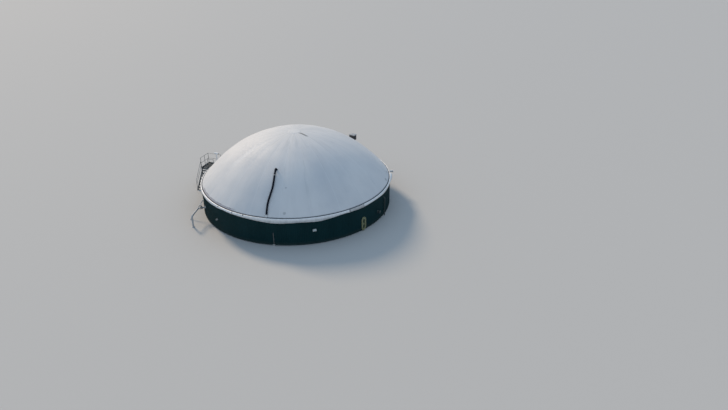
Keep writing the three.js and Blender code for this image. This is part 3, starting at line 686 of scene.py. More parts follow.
class Build:
    """Solids that are joined into one piece, drawn in the frame of a flat of the wall."""

    def __init__(self, angle=0.0):
        self.mesh = bmesh.new()
        self.turn = turned(angle)

    def faces(self, points, faces):
        made = [self.mesh.verts.new(point) for point in points]
        for face in faces:
            self.mesh.faces.new([made[i] for i in face])

    def box(self, low, high):
        x0, y0, z0 = low
        x1, y1, z1 = high
        corners = [(x, y, z) for z in (z0, z1) for x, y in ((x0, y0), (x1, y0), (x1, y1), (x0, y1))]
        sides = [(3, 2, 1, 0), (4, 5, 6, 7), (0, 1, 5, 4), (1, 2, 6, 5), (2, 3, 7, 6), (3, 0, 4, 7)]
        self.faces(corners, sides)

    def lathe(self, start, axis, profile, sides=16):
        """A turned solid: (radius, height) points along an axis, closed at both ends."""
        axis = Vector(axis).normalized()
        places = spokes(axis, sides)
        rings = [[Vector(start) + axis * height + place * radius for place in places]
                 for radius, height in profile]
        skin(self.mesh, rings, ends=True)

    def ring(self, start, axis, section, sides):
        """A closed (radius, height) section turned about an axis."""
        axis = Vector(axis).normalized()
        rings = [[Vector(start) + axis * height + place * radius for radius, height in section]
                 for place in spokes(axis, sides)]
        skin(self.mesh, rings, around=True)

    def band(self, start, axis, inner, outer, wide, sides=20):
        """A flat ring round an axis, from the start on along it."""
        self.ring(start, axis, [(inner, 0), (outer, 0), (outer, wide), (inner, wide)], sides)

    def hoop(self, centre, axis, radius, thick, around=32):
        """A round bar bent to a circle."""
        section = [(radius + thick * cos(turn), thick * sin(turn)) for turn in circle(10)]
        self.ring(centre, axis, section, around)

    def disc(self, start, axis, radius, thick, sides=32):
        self.lathe(start, axis, [(radius, 0), (radius, thick)], sides)

    def plate(self, start, axis, radius, thick):
        """A disc with its outer edge broken."""
        self.lathe(start, axis, [(radius, 0), (radius, thick - 0.002), (radius - 0.002, thick)], 32)

    def rod(self, start, end, radius, sides=12):
        axis = Vector(end) - Vector(start)
        self.disc(start, axis, radius, axis.length, sides)

    def tube(self, path, radii, sides=16):
        """A round pipe along a line of points, with a radius for each of them."""
        rings = []
        side = None
        for i, point in enumerate(path):
            ahead = (path[min(i + 1, len(path) - 1)] - path[max(i - 1, 0)]).normalized()
            side = (side - ahead * side.dot(ahead)).normalized() if side else ahead.orthogonal().normalized()
            rings.append([point + place * radii[i] for place in spokes(ahead, sides, side)])
        skin(self.mesh, rings, ends=True)

    def pipe(self, corners, radius, bend):
        """A round pipe on straight runs, with a rounded bend between two weld beads at each corner."""
        corners = [Vector(corner) for corner in corners]
        path = [corners[0]]
        for before, corner, after in zip(corners, corners[1:], corners[2:]):
            into, away = (corner - before).normalized(), (after - corner).normalized()
            turn = into.angle(away)
            inward = (away - into * into.dot(away)).normalized()
            reach = bend * tan(turn / 2)
            for swept in steps(0, turn, ceil(turn / BEND_STEP)):
                swung = inward * (1 - cos(swept)) + into * sin(swept)
                path.append(corner - into * reach + swung * bend)
            for place, axis in ((corner - into * reach, into), (corner + away * reach, away)):
                self.band(place - axis * WELD, axis, radius - WELD, radius + WELD, 2 * WELD, 24)
        path.append(corners[-1])
        self.tube(path, [radius] * len(path), 24)

    def trim_below(self, height):
        """Cuts off what reaches below a height and closes the cut."""
        parts = [*self.mesh.verts, *self.mesh.edges, *self.mesh.faces]
        cut = bmesh.ops.bisect_plane(self.mesh, geom=parts, plane_co=(0, 0, height), plane_no=UP,
                                     clear_inner=True)
        rim = [part for part in cut["geom_cut"] if isinstance(part, bmesh.types.BMEdge)]
        bmesh.ops.edgeloop_fill(self.mesh, edges=rim)

    def bolt(self, place, axis, size):
        """A hexagon head on its washer."""
        self.disc(place, axis, size * 1.15, size * 0.25, 12)
        self.lathe(Vector(place) + Vector(axis) * size * 0.25, axis, [(size, 0), (size * 0.9, size * 0.8)], 6)

    def bolt_ring(self, centre, axis, radius, count=8, size=0.012):
        axis = Vector(axis).normalized()
        for place in spokes(axis, count, start=pi / count):
            self.bolt(Vector(centre) + place * radius, axis, size)

    def done(self, name, material, slot, bevel=0.0, replaces=()):
        self.mesh.transform(self.turn)
        bmesh.ops.recalc_face_normals(self.mesh, faces=self.mesh.faces)
        return piece(mesh_item(self.mesh, name, material), bevel, replaces)


def piece(item, bevel=0.0, replaces=(), shade=True):
    bpy.context.scene.collection.objects.link(item)
    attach(item, "root")
    if replaces:
        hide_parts(*replaces)
    if shade:
        soften(item, bevel)
    return item


def grid_piece(name, rows, material, closed=True, replaces=()):
    """A sheet through rows of points, closed where the rows go all the way round."""
    mesh = bmesh.new()
    skin(mesh, rows, closed)
    item = mesh_item(mesh, name, material)
    item.data.shade_smooth()
    return piece(item, replaces=replaces, shade=False)


def ring_rows(profile, around=384):
    """Rows of points for (distance out, height) pairs turned about the tank's axis."""
    return [[round_point(out, turn, z) for turn in circle(around)] for out, z in profile]


def curve_through(points, spacing):
    """Evenly spaced points on a smooth curve through the given ones."""
    ends = [2 * points[0] - points[1], *points, 2 * points[-1] - points[-2]]
    fine = []
    for a, b, c, d in zip(ends, ends[1:], ends[2:], ends[3:]):
        for t in steps(0, 1, 40)[:-1]:
            fine.append(0.5 * (2 * b + (c - a) * t + (2 * a - 5 * b + 4 * c - d) * t**2
                               + (3 * b - a - 3 * c + d) * t**3))
    fine.append(points[-1])
    lengths = [(after - before).length for before, after in zip(fine, fine[1:])]
    places = [fine[0]]
    walked, i = 0.0, 0
    for goal in steps(0, sum(lengths), max(2, round(sum(lengths) / spacing)))[1:-1]:
        while walked + lengths[i] < goal:
            walked += lengths[i]
            i += 1
        places.append(fine[i].lerp(fine[i + 1], (goal - walked) / lengths[i]))
    return [*places, fine[-1]]


def dress_nodes():
    """Gives every CAD node the material of its slot, weathered steel darkened as painted shade on platform
    and stair, and soft edges.
    """
    for part in frame["record"]["subparts"]:
        item = nodes[part["node"]]
        weathered_and_shaded = part["node"].startswith(("platform_", "stair_"))
        item.data.materials.clear()
        item.data.materials.append(WEATHERED_SHADED_STEEL if weathered_and_shaded else SLOT_PAINTS[part["material_slot"]])
        soften(item, 0.002)


# Hose hank on its hook


def hank_stations():
    """Column and layer of each turn: out along the first layer, back along the next."""
    stations = []
    for layer in range(HOSE_LAYERS):
        columns = range(HOSE_TURNS)
        for column in reversed(columns) if layer % 2 else columns:
            stations.append((column, layer))
    return stations


def step_share(share, layer, next_layer):
    """How far a turn has moved to its next place on the way up the right leg."""
    phase = 2 * (HOSE_LAYERS - 1 - layer)
    if layer != next_layer:
        phase -= 1
    return smoothstep(share * (2 * HOSE_LAYERS - 1) - phase)


def hank_route():
    """Centre line of the hose: round the hank turn by turn, then on into its coupling."""
    low, high = local_box("hose_hank", HOSE_ANGLE)
    half = (high.y - low.y) / 2
    middle = (high.y + low.y) / 2
    bottom, top = low.z + half, high.z - half
    inner = half - HOSE_TURNS * HOSE_PITCH + HOSE_PITCH / 2
    places = [(inner + HOSE_PITCH * column, low.x + HOSE_PITCH * (layer + 0.5), layer)
              for column, layer in hank_stations()]
    points = []

    def arc(centre, first, last, reach, out):
        for turn in steps(*in_radians(first, last), ARC_POINTS)[:-1]:
            points.append(Vector((out, middle + reach * cos(turn), centre + reach * sin(turn))))

    for turn, (reach, out, layer) in enumerate(places):
        arc(top, 90, 180, reach, out)
        for z in steps(top, bottom, LEG_POINTS)[:-1]:
            points.append(Vector((out, middle - reach, z)))
        if turn + 1 == len(places):
            break
        arc(bottom, 180, 270, reach, out)
        arc(bottom, 270, 360, reach, out)
        next_reach, next_out, next_layer = places[turn + 1]
        for rise in steps(0, 1, 2 * LEG_POINTS)[:-1]:
            moved = step_share(rise, layer, next_layer)
            side = reach + (next_reach - reach) * moved
            forward = out + (next_out - out) * moved
            points.append(Vector((forward, middle + side, bottom + (top - bottom) * rise)))
        arc(top, 0, 90, next_reach, next_out)
    points.extend(tail_route(points[-1], bottom, middle, places[-1][0]))
    return [turned(HOSE_ANGLE) @ point for point in points]


def tail_route(last, bottom, middle, reach):
    """The hose's end, which swings out in front of the hank and lies down into its coupling."""
    low, high = local_box("hose_coupling", HOSE_ANGLE)
    goal = Vector(((low.x + high.x) / 2, low.y, (low.z + high.z) / 2))
    stop = degrees(acos((goal.y - middle) / reach))
    points = []
    for share in steps(0, 1, TAIL_POINTS)[1:]:
        turn = radians(180 + (180 - stop) * share)
        place = Vector((last.x, middle + reach * cos(turn), bottom + reach * sin(turn)))
        moved = smoothstep(share)
        place.x += (goal.x - last.x) * moved
        place.z += (goal.z - (bottom - reach * sin(radians(stop)))) * moved
        points.append(place)
    return points


def hose():
    route = hank_route()
    data = bpy.data.curves.new("hose", "CURVE")
    data.dimensions = "3D"
    spline = data.splines.new("POLY")
    spline.points.add(len(route) - 1)
    for point, place in zip(spline.points, route):
        point.co = (*place, 1)
    data.bevel_depth = HOSE_DIAMETER / 2
    data.bevel_resolution = 3
    data.use_fill_caps = True
    data.materials.append(HOSE)
    item = piece(bpy.data.objects.new("hose", data), replaces=["hose_hank"], shade=False)


hose()


# Dome membrane

CLOTH_HOLE = 0.02
FINE_REACH = 2.62
PATCH_HOLE = 0.005
PATCH_LIFT = 0.006


def fold_depth(x, y):
    """The fold beside the crown, a shallow dip with a lip on either side."""
    start, end = (Vector(point[:2]) for point in CROWN_FOLD)
    along = (end - start).normalized()
    offset = Vector((x, y)) - (start + end) / 2
    far = abs(offset.dot(along)) / ((end - start).length / 2)
    across = abs(offset.x * along.y - offset.y * along.x)
    share = exp(-((far / 0.85) ** 4))
    lip = 0.035 * exp(-((across / 0.16) ** 2))
    dip = 0.06 * exp(-((across / 0.07) ** 2))
    return share * (lip - dip)


def membrane_lift(radius, turn):
    """How far the cloth stands off the plain form: gores, rim puckers and the fold."""
    share = ((turn - FIRST_SEAM) / GORE_TURN) % 1.0
    bulge = 0.014 * sin(pi * share) * smoothstep(radius / 4) - 0.012
    rim = smoothstep((radius - 8.2) / 1.0)
    pucker = 0.003 * sin(97 * turn) + 0.004 * sin(41 * turn + 1.3)
    x, y = radius * cos(turn), radius * sin(turn)
    drift = noise.noise((x * 0.45, y * 0.45, 0)) * 0.012 * smoothstep(radius / 2)
    free = 1 - smoothstep((radius - DOME_FOOT + 0.25) / 0.25)
    return free * (bulge + rim * pucker + drift * (1 - rim) + fold_depth(x, y))


def cloth_rows(radii, around, lift):
    rows = []
    for radius in radii:
        row = []
        for turn in circle(around, FIRST_SEAM):
            row.append(on_dome(radius * cos(turn), radius * sin(turn), membrane_lift(radius, turn) + lift))
        rows.append(row)
    return rows


def dome():
    radii = steps(CLOTH_HOLE, FINE_REACH, 40)[:-1] + steps(FINE_REACH, DOME_FOOT, 56)
    rows = cloth_rows(radii, GORES * 24, 0.0)
    cloth = grid_piece("dome_cloth", rows, MEMBRANE, replaces=["dome_membrane"])

    rows = cloth_rows(steps(PATCH_HOLE, PATCH_RADIUS, 12), GORES * 6, PATCH_LIFT)
    rows += cloth_rows([PATCH_RADIUS + 0.004], GORES * 6, 0.0)
    patch = grid_piece("crown_disc", rows, MEMBRANE, replaces=["crown_patch"])


dome()


# Rain skirt and the hose that clamps the membrane in its groove


def within(turn, stretch, soft):
    """How fully a turn lies in a stretch of the ring, which sets in and fades out softly."""
    inside = min((turn - stretch[0]) / soft[0], (stretch[1] - turn) / soft[1])
    return min(1.0, max(0.0, inside + 0.5))


def half_turn(turn):
    """The same turn between -180 and 180 degrees."""
    return (turn + pi) % TURN - pi


def ring_noise(scale, turn, level):
    """Noise that closes on itself round the tank."""
    return noise.noise(round_point(scale, turn, level))


def skirt_edge(turn):
    rise = LEFT_RISE * within(turn, LEFT_STRETCH, LEFT_SOFT)
    drop = FRONT_DROP * within(turn, FRONT_STRETCH, FRONT_SOFT)
    return SKIRT_FOOT + rise - drop - SKIRT_WAVE * cos(WAVES * (turn - WAVE_DIP))


def skirt_fold(turn):
    """Hanging folds: broad waves with narrow creases between them, crumpled where it is drawn up."""
    crumpled = within(turn, CRUMPLED, (LAP, 8 * LAP))
    return (1.4 * ring_noise(11, turn, 2.0) + 0.9 * ring_noise(70, turn, 5.0)) * (1 + 1.8 * crumpled)


def skirt_point(turn, step, free, lap):
    """A point of the skirt's cross-section, from the groove over the roll down to the foot.

    Where a strip's end is free it leaves the roll and stands off outwards; where it laps over the
    next strip it lies a little further out and sags.
    """
    turn = half_turn(turn)
    fold = skirt_fold(turn)
    if step <= ARC_STEPS:
        angle = OVER_ROLL * (1 - step / ARC_STEPS)
        reach = ROLL_RADIUS + 0.006 * free + 0.006 * lap + 0.006 * fold * step / ARC_STEPS
        out = ROLL_OUT + reach * cos(angle)
        z = ROLL_Z + reach * sin(angle)
    else:
        share = (step - ARC_STEPS) / HANG_STEPS
        ragged = 0.016 * fold + 0.01 * ring_noise(160, turn, 8.0)
        edge = skirt_edge(turn) + ragged - 0.03 * lap
        near_roll = 0.016 * (1 - smoothstep(2 * share))
        out = SKIRT_OUT - near_roll + 0.006 * lap * (1 - share) + 0.008 * share * fold
        z = ROLL_Z + (edge - ROLL_Z) * share
    lifted = free * smoothstep((step - 3) / (ARC_STEPS + HANG_STEPS))
    return round_point(out + 1.25 * LOOSE_OUT * lifted, turn, z + 0.05 * lifted * (1 + 0.4 * fold))


def skirt_strips():
    """Strips that each end over the start of the next; the one that ends on the right has come loose."""
    ends = [*STRIP_ENDS[1:], STRIP_ENDS[0] + TURN]
    for number, (start, end) in enumerate(zip(STRIP_ENDS, ends), 1):
        loose = end == LOOSE_END
        reach = end if loose else end + LAP
        turns = steps(start, reach, ceil((reach - start) / COLUMN_TURN))
        rows = []
        for step in range(ARC_STEPS + HANG_STEPS + 1):
            row = []
            for turn in turns:
                free = smoothstep((turn - LOOSE_START) / (LOOSE_END - LOOSE_START)) if loose else 0.0
                lap = 0.0 if loose else smoothstep((turn - end + 2 * LAP) / (2 * LAP))
                row.append(skirt_point(turn, step, free, lap))
            rows.append(row)
        item = grid_piece(f"skirt_strip_{number}", rows, SKIRT, closed=False, replaces=["rain_skirt"])
        thicken = item.modifiers.new("thickness", "SOLIDIFY")
        thicken.thickness = SKIRT_THICK
        thicken.offset = 1


def clamping_hose():
    """Black hose pressed into the groove over the foot of the membrane."""
    radius = 0.011
    out, z = DOME_FOOT + radius, DOME_SEAT + 0.012
    profile = [(out + radius * cos(turn), z + radius * sin(turn)) for turn in steps(0, TURN, 10)]
    grid_piece("clamping_hose", ring_rows(profile), RUBBER)


skirt_strips()
clamping_hose()


# Green sheet on the wall


def cladding():
    """Trapezoidal sheet in quarters, as high as the CAD sheet."""
    low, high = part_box("wall_cladding_1")
    shape = ((0.30, 0), (0.38, RIB_DEEP), (0.62, RIB_DEEP), (0.70, 0))
    per_quarter = RIBS // WALL_QUARTERS
    for quarter in range(WALL_QUARTERS):
        ribs = range(quarter * per_quarter, (quarter + 1) * per_quarter)
        columns = [(TURN * (rib + share) / RIBS, SHEET_OUT + deep) for rib in ribs for share, deep in shape]
        columns.append((TURN * (ribs.stop + shape[0][0]) / RIBS, SHEET_OUT))
        rows = [[round_point(out, turn, z) for turn, out in columns]
                for z in (low.z, low.z + 0.6, low.z + 1.3, high.z)]
        name, node = f"green_sheet_{quarter + 1}", f"wall_cladding_{quarter + 1}"
        sheet = grid_piece(name, rows, GREEN, closed=False, replaces=[node])
        sheet.data.shade_flat()


def cladding_screws():
    build = Build()
    for z in SCREW_ROWS:
        for rib in range(0, RIBS, 2):
            axis = round_point(1, TURN * rib / RIBS, 0)
            build.bolt(axis * SHEET_OUT + UP * z, axis, 0.009)
    build.done("sheet_screws", DULL_BOLTS, "steel")


def base_trim():
    """Folded strip that closes the foot of the sheet."""
    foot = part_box("wall_cladding_1")[0].z
    face = SHEET_OUT + RIB_DEEP + 0.003
    profile = ((face, foot + 0.07), (face + 0.001, foot + 0.002), (face + 0.019, foot - 0.014))
    item = grid_piece("base_trim", ring_rows(profile)[::-1], GREEN)
    item.modifiers.new("thickness", "SOLIDIFY").thickness = 0.002


cladding()
cladding_screws()
base_trim()


# Air duct down the dome, with its elbow


def air_duct():
    """Ribbed duct with a band near either end, and the elbow that it starts from."""
    per_ridge = 4
    route = curve_through([on_dome(x, y, DUCT_LIFT) for x, y in DUCT_ROUTE], RIDGE_PITCH / per_ridge)
    grooves = [RIDGE_DEEP / 2 * (1 - cos(TURN * i / per_ridge)) for i in range(len(route))]
    build = Build()
    build.tube(route, [DUCT_RADIUS - groove for groove in grooves], 20)
    build.done("ribbed_duct", RUBBER, "duct", replaces=["air_duct"])
    for name, i, wide, paint in (("upper", 6, 0.05, BOLTS), ("lower", len(route) - 5, 0.014, DULL_BOLTS)):
        axis = (route[i + 1] - route[i - 1]).normalized()
        clamp = Build()
        clamp.band(route[i], axis, DUCT_RADIUS - 0.003, DUCT_RADIUS + 0.002, wide, 20)
        clamp.done(f"{name}_duct_band", paint, "steel")
    air_elbow(route[0], (route[1] - route[0]).normalized())


def air_elbow(duct_end, duct_along):
    """Bend that rises from its flange on the dome and turns down into the duct."""
    foot = turned(ELBOW_ANGLE) @ Vector((ELBOW_OUT, ELBOW_SHIFT, 0))
    foot = on_dome(foot.x, foot.y)
    up = dome_normal(foot.x, foot.y)
    towards = duct_end - foot
    towards = (towards - up * towards.dot(up)).normalized()
    arch = [foot + towards * far + up * lift for far, lift in ELBOW_ARCH]
    arch += [duct_end - duct_along * DUCT_RADIUS / 2, duct_end]
    route = curve_through(arch, 0.02)
    build = Build()
    build.tube(route, [ELBOW_RADIUS] * len(route), 24)
    build.band(foot + up * 0.03, up, ELBOW_RADIUS - 0.002, ELBOW_RADIUS + 0.008, 0.05, 24)
    build.band(duct_end - duct_along * 0.07, duct_along, ELBOW_RADIUS - 0.002, ELBOW_RADIUS + 0.006, 0.06, 24)
    thick = 0.022
    flange = [(ELBOW_FLANGE, 0), (ELBOW_FLANGE, thick - 0.004), (ELBOW_FLANGE - 0.005, thick)]
    build.lathe(foot, up, flange, 32)
    build.done("elbow_bend", RUBBER, "duct", replaces=["air_elbow"])
    bolts = Build()
    bolts.bolt_ring(foot + up * thick, up, ELBOW_FLANGE - 0.013, 8, 0.007)
    bolts.done("elbow_bolts", BOLTS, "steel")


air_duct()


# Pipes that come out of the wall


def stubs():
    """Pipe ends closed with bolted covers, each on a plate that is bolted to the sheet."""
    places = (
        ("gas_pipe_stub", 168.75, -0.03, 2.2, 0.095, WHITE, BOLTS),
        ("feed_pipe_stub", 11.25, 0.08, 2.2, 0.11, WHITE, BOLTS),
        ("inlet_stub_right", -30, -0.08, 1.0, 0.1, SHADE_GREY, DULL_BOLTS),
        ("sampling_stub_left", -135, -0.13, 1.12, 0.055, WORN_GREY, BOLTS),
    )
    for name, angle, shift, z, radius, paint, bolt_paint in places:
        bolt = 0.11 * radius
        face = local_box(name, angle)[1].x - 1.05 * bolt
        plate, flange, gasket, neck = 1.6 * radius, 1.5 * radius, 1.3 * radius, 1.06 * radius
        long, thick = face - SEAT, PLATE_FACE - SEAT
        stub = Build(angle)
        stub.lathe((SEAT, shift, z), OUT, [
            (plate, 0), (plate, thick), (neck, thick + 0.003), (radius, thick + 0.008),
            (radius, long - 0.042), (neck, long - 0.036), (flange, long - 0.034), (flange, long - 0.018),
            (gasket, long - 0.018), (gasket, long - 0.016), (flange, long - 0.016), (flange, long - 0.002),
            (flange - 0.002, long), (0.3 * radius, long)], 32)
        stub.done(f"{name}_pipe", paint, "grey", replaces=[name])
        bolts = Build(angle)
        bolts.bolt_ring((face, shift, z), OUT, 1.27 * radius, 8, bolt)
        bolts.bolt_ring((face - 0.034, shift, z), -OUT, 1.27 * radius, 8, bolt)
        bolts.bolt_ring((PLATE_FACE, shift, z), OUT, 1.38 * radius, 6, bolt)
        bolts.done(f"{name}_bolts", bolt_paint, "steel")


def wall_height(node, angle, plate):
    """Height where a pipe comes out whose plate is the lowest part of its node."""
    return local_box(node, angle)[0].z + plate


def wall_pipe(angle, start, corners, radius, plate, bend=0.0):
    """A pipe that comes out of the wall through a round plate and bends at the corners."""
    build = Build(angle)
    start = (SEAT, *start)
    build.pipe([start, *corners], radius, bend)
    build.plate(start, OUT, plate, PLATE_FACE - SEAT)
    return build


def relief_riser():
    low, high = local_box("relief_box", RELIEF_ANGLE)
    out, shift, _ = (low + high) / 2
    z = wall_height("relief_riser", RELIEF_ANGLE, RELIEF_PLATE)
    corners = [(out, shift, z), (out, shift, low.z - PLATE_THICK)]
    riser = wall_pipe(RELIEF_ANGLE, (shift, z), corners, RELIEF_PIPE, RELIEF_PLATE, 0.17)
    riser.disc((out, shift, low.z), -UP, RELIEF_PLATE, PLATE_THICK)
    riser.done("relief_riser_pipe", STEEL, "steel", replaces=["relief_riser"])


def vent_riser():
    low, high = local_box("vent_head", VENT_ANGLE)
    out = (low.x + high.x) / 2
    z = wall_height("vent_pipe", VENT_ANGLE, VENT_PLATE)
    riser = wall_pipe(VENT_ANGLE, (0, z), [(out, 0, z), (out, 0, low.z)], VENT_PIPE, VENT_PLATE, 0.17)
    riser.done("vent_riser_pipe", WHITE, "white", replaces=["vent_pipe"])
    head = Build(VENT_ANGLE)
    head.disc((low.x, 0, high.z - TEE_RADIUS), OUT, TEE_RADIUS, high.x - low.x)
    head.disc((out, 0, low.z), UP, VENT_PIPE + 0.004, TEE_RADIUS)
    head.done("vent_tee", WHITE, "white", replaces=["vent_head"])


def line_foot():
    """X and Y where the substrate line goes into the ground."""
    high = local_box("substrate_pipe_ground", LINE_ANGLE)[1]
    return high.x - LINE_SOLE, high.y - LINE_SOLE


def substrate_line():
    """Pipe from the wall to the valve, and on from there into the ground through a round sole."""
    z = wall_height("substrate_pipe_wall", LINE_ANGLE, LINE_PLATE)
    low, high = local_box("gate_valve", LINE_ANGLE)
    near = wall_pipe(LINE_ANGLE, (0, z), [(low.x, 0, z)], LINE_PIPE, LINE_PLATE)
    near.done("substrate_inner_pipe", GREY, "grey", replaces=["substrate_pipe_wall"])
    x, y = line_foot()
    far = Build(LINE_ANGLE)
    far.pipe([(high.x, 0, z), (high.x + 0.17, 0, z), (x, y, z), (x, y, 0)], LINE_PIPE, 0.16)
    far.plate((x, y, 0), UP, LINE_SOLE, LINE_SOLE_THICK)
    far.done("substrate_outer_pipe", GREY, "grey", replaces=["substrate_pipe_ground"])


def right_riser():
    high = local_box("wall_riser_right", RISER_ANGLE)[1]
    out, z = high.x - RISER_PIPE, high.z - RISER_PLATE
    riser = wall_pipe(RISER_ANGLE, (0, z), [(out, 0, z), (out, 0, 0)], RISER_PIPE, RISER_PLATE, 0.09)
    riser.done("right_riser_pipe", SHADE_GREY, "grey", replaces=["wall_riser_right"])


def sloping_pipe():
    z = local_box("sloping_pipe", SLOPE_ANGLE)[1].z - SLOPE_PLATE
    corners = [(SEAT + 0.09, 0, z), SLOPE_FOOT]
    slope = wall_pipe(SLOPE_ANGLE, (0, z), corners, SLOPE_PIPE, SLOPE_PLATE, 0.1)
    slope.trim_below(0)
    slope.done("sloping_round_pipe", GREY, "grey", replaces=["sloping_pipe"])


def gate_valve():
    """Valve with two flanges, a bolted bonnet, a yoke and a handwheel with spokes."""
    low, high = local_box("gate_valve", LINE_ANGLE)
    z = wall_height("substrate_pipe_wall", LINE_ANGLE, LINE_PLATE)
    middle, long = (low.x + high.x) / 2, 0.2
    flange, flange_thick, neck, belly = 0.14, 0.025, 0.088, 0.112
    half = [(flange, 0), (flange, flange_thick), (neck, 0.035), (neck, 0.055), (belly, 0.075)]
    bonnet_top = 0.19
    wheel_radius, wheel_z = 0.112, high.z - 0.02
    body = Build(LINE_ANGLE)
    body.lathe((low.x, 0, z), OUT, half + [(radius, long - along) for radius, along in half[::-1]], 28)
    body.lathe((middle, 0, z), UP, [
        (0.075, 0), (0.075, 0.15), (0.105, 0.155), (0.105, bonnet_top),
        (0.062, 0.2), (0.045, 0.25), (0.024, 0.26), (0.024, 0.28)], 24)
    for side in (-0.04, 0.04):
        body.rod((middle, side, z + 0.2), (middle, side, wheel_z - 0.04), 0.009)
    body.box((middle - 0.02, -0.055, wheel_z - 0.05), (middle + 0.02, 0.055, wheel_z - 0.035))
    body.done("valve_body", WORN_GREY, "white", 0.002, replaces=["gate_valve"])

    wheel = Build(LINE_ANGLE)
    wheel.hoop((middle, 0, wheel_z), UP, wheel_radius, 0.013)
    hub = [(0.024, 0), (0.03, 0.01), (0.03, 0.034), (0.02, 0.042)]
    wheel.lathe((middle, 0, wheel_z - 0.022), UP, hub, 16)
    for turn in circle(5):
        tip = Vector((middle, 0, wheel_z)) + round_point(wheel_radius - 0.006, turn, 0)
        wheel.rod((middle, 0, wheel_z - 0.004), tip, 0.008, 8)
    wheel.done("valve_handwheel", WHITE, "white")

    bolts = Build(LINE_ANGLE)
    bolts.bolt_ring((low.x + flange_thick, 0, z), OUT, flange - 0.021)
    bolts.bolt_ring((high.x - flange_thick, 0, z), -OUT, flange - 0.021)
    bolts.bolt_ring((PLATE_FACE, 0, z), OUT, LINE_PLATE - 0.022)
    bolts.bolt_ring((middle, 0, z + bonnet_top), UP, 0.088, 8, 0.009)
    bolts.rod((middle, 0, z + 0.26), (middle, 0, high.z), 0.011)
    bolts.bolt_ring((*line_foot(), LINE_SOLE_THICK), UP, LINE_SOLE - 0.028, 6)
    bolts.done("valve_bolts", BOLTS, "steel")


# Small fittings round the wall


def conduit():
    """Upright tube on clips that comes out of a small concrete foot."""
    low, high = local_box("wall_conduit", CONDUIT_ANGLE)
    middle, radius = (low.y + high.y) / 2, 0.032
    out = SHEET_OUT + RIB_DEEP + radius
    start, foot_top = 0.06, 0.14
    tall = high.z - start
    clip, clip_half, clip_thick = 0.022, 0.06, 0.004
    tube = Build(CONDUIT_ANGLE)
    tube.lathe((out, middle, start), UP, [(radius, 0), (radius, tall - 0.01), (radius - 0.004, tall)], 24)
    for z in (0.25, 0.62, 1.0):
        tube.band((out, middle, z), UP, radius - 0.001, radius + clip_thick, clip, 24)
        corner = (out - radius + clip_thick, middle + clip_half, z + clip)
        tube.box((SEAT, middle - clip_half, z), corner)
    tube.done("conduit_tube", CONDUIT_GREY, "grey", replaces=["wall_conduit"])
    block = Build(CONDUIT_ANGLE)
    block.box((low.x, low.y, 0), (high.x, high.y, foot_top))
    block.done("conduit_foot", CONCRETE, "concrete", 0.012)


def junction_box():
    """Flat wall box with a lid, screws in its corners and two glands below it."""
    low, high = local_box("wall_junction_box", BOX_ANGLE)
    face, sunk = high.x, 0.006
    lid, panel = (0.032, sunk, 0.004), (0.01, 0, -0.03)
    gland = [(0.018, 0), (0.018, 0.012), (0.013, 0.016), (0.013, 0.034)]
    build = Build(BOX_ANGLE)
    build.box(low, (face - 0.035, high.y, high.z))
    for back, front, grow in (lid, panel):
        build.box((face - back, low.y - grow, low.z - grow), (face - front, high.y + grow, high.z + grow))
    for side in (-0.08, 0.08):
        build.lathe((low.x + 0.045, side, low.z), -UP, gland, 8)
    build.done("wall_box", DULL_WHITE, "white", 0.005, replaces=["wall_junction_box"])
    screws = Build(BOX_ANGLE)
    inset = 0.016
    for y in (low.y + inset, high.y - inset):
        for z in (low.z + inset, high.z - inset):
            screws.bolt((face - sunk, y, z), OUT, 0.006)
    screws.done("wall_box_screws", BOLTS, "steel")


def hose_fittings():
    """Strap in two turns round the hank's legs, and the bolts of the hook's plate."""
    low, high = local_box("hose_hank", HOSE_ANGLE)
    middle = (low + high) / 2
    wide, thick = 0.07, 0.004
    x0, x1, y0, y1 = low.x - thick, high.x + thick, low.y - thick, high.y + thick
    strap = Build(HOSE_ANGLE)
    for z in (middle.z - 0.057, middle.z - 0.021):
        for near, far in (((high.x, y0), (x1, y1)), ((x0, y0), (low.x, y1)),
                          ((low.x, y0), (high.x, low.y)), ((low.x, high.y), (high.x, y1))):
            strap.box((*near, z), (*far, z + wide))
    strap.done("hose_strap", HOSE, "hose", 0.001)

    hook_z = local_box("hose_hook", HOSE_ANGLE)[0].z + 0.06
    bolts = Build(HOSE_ANGLE)
    bolts.bolt_ring((low.x - 0.002, middle.y, hook_z), OUT, 0.043, 4, 0.008)
    bolts.done("hook_bolts", BOLTS, "steel")


def riser_clips():
    """Brackets of the upright pipe on the right, and the bolts of its plate and the sloping pipe's."""
    high = local_box("wall_riser_right", RISER_ANGLE)[1]
    clips = Build(RISER_ANGLE)
    out = high.x - RISER_PIPE
    inner = RISER_PIPE - 0.001
    for z in (0.45, 1.3):
        clips.band((out, 0, z), UP, inner, RISER_PIPE + 0.004, 0.04, 20)
        clips.box((SEAT, -0.015, z + 0.01), (out - inner, 0.015, z + 0.03))
        clips.box((SEAT, -0.06, z - 0.02), (PLATE_FACE - 0.008, 0.06, z + 0.06))
    clips.bolt_ring((PLATE_FACE, 0, high.z - RISER_PLATE), OUT, RISER_PLATE - 0.015, 6, 0.008)
    clips.done("riser_clips", SHADE_GREY, "steel")
    bolts = Build(SLOPE_ANGLE)
    z = local_box("sloping_pipe", SLOPE_ANGLE)[1].z - SLOPE_PLATE
    bolts.bolt_ring((PLATE_FACE, 0, z), OUT, SLOPE_PLATE - 0.015, 6, 0.007)
    bolts.done("sloping_pipe_bolts", BOLTS, "steel")


# Overpressure device and vent on the far side


def louvre(build, low, high, face, side):
    """A pressed slot cover on a face that looks along Y: it stands out below and is flush at the top."""
    (x0, z0), (x1, z1) = low, high
    out = face + side * 0.022
    points = [(x0, face, z0), (x1, face, z0), (x1, face, z1), (x0, face, z1), (x0, out, z0), (x1, out, z0)]
    build.faces(points, [(0, 1, 2, 3), (0, 4, 5, 1), (4, 3, 2, 5), (0, 3, 4), (1, 5, 2)])


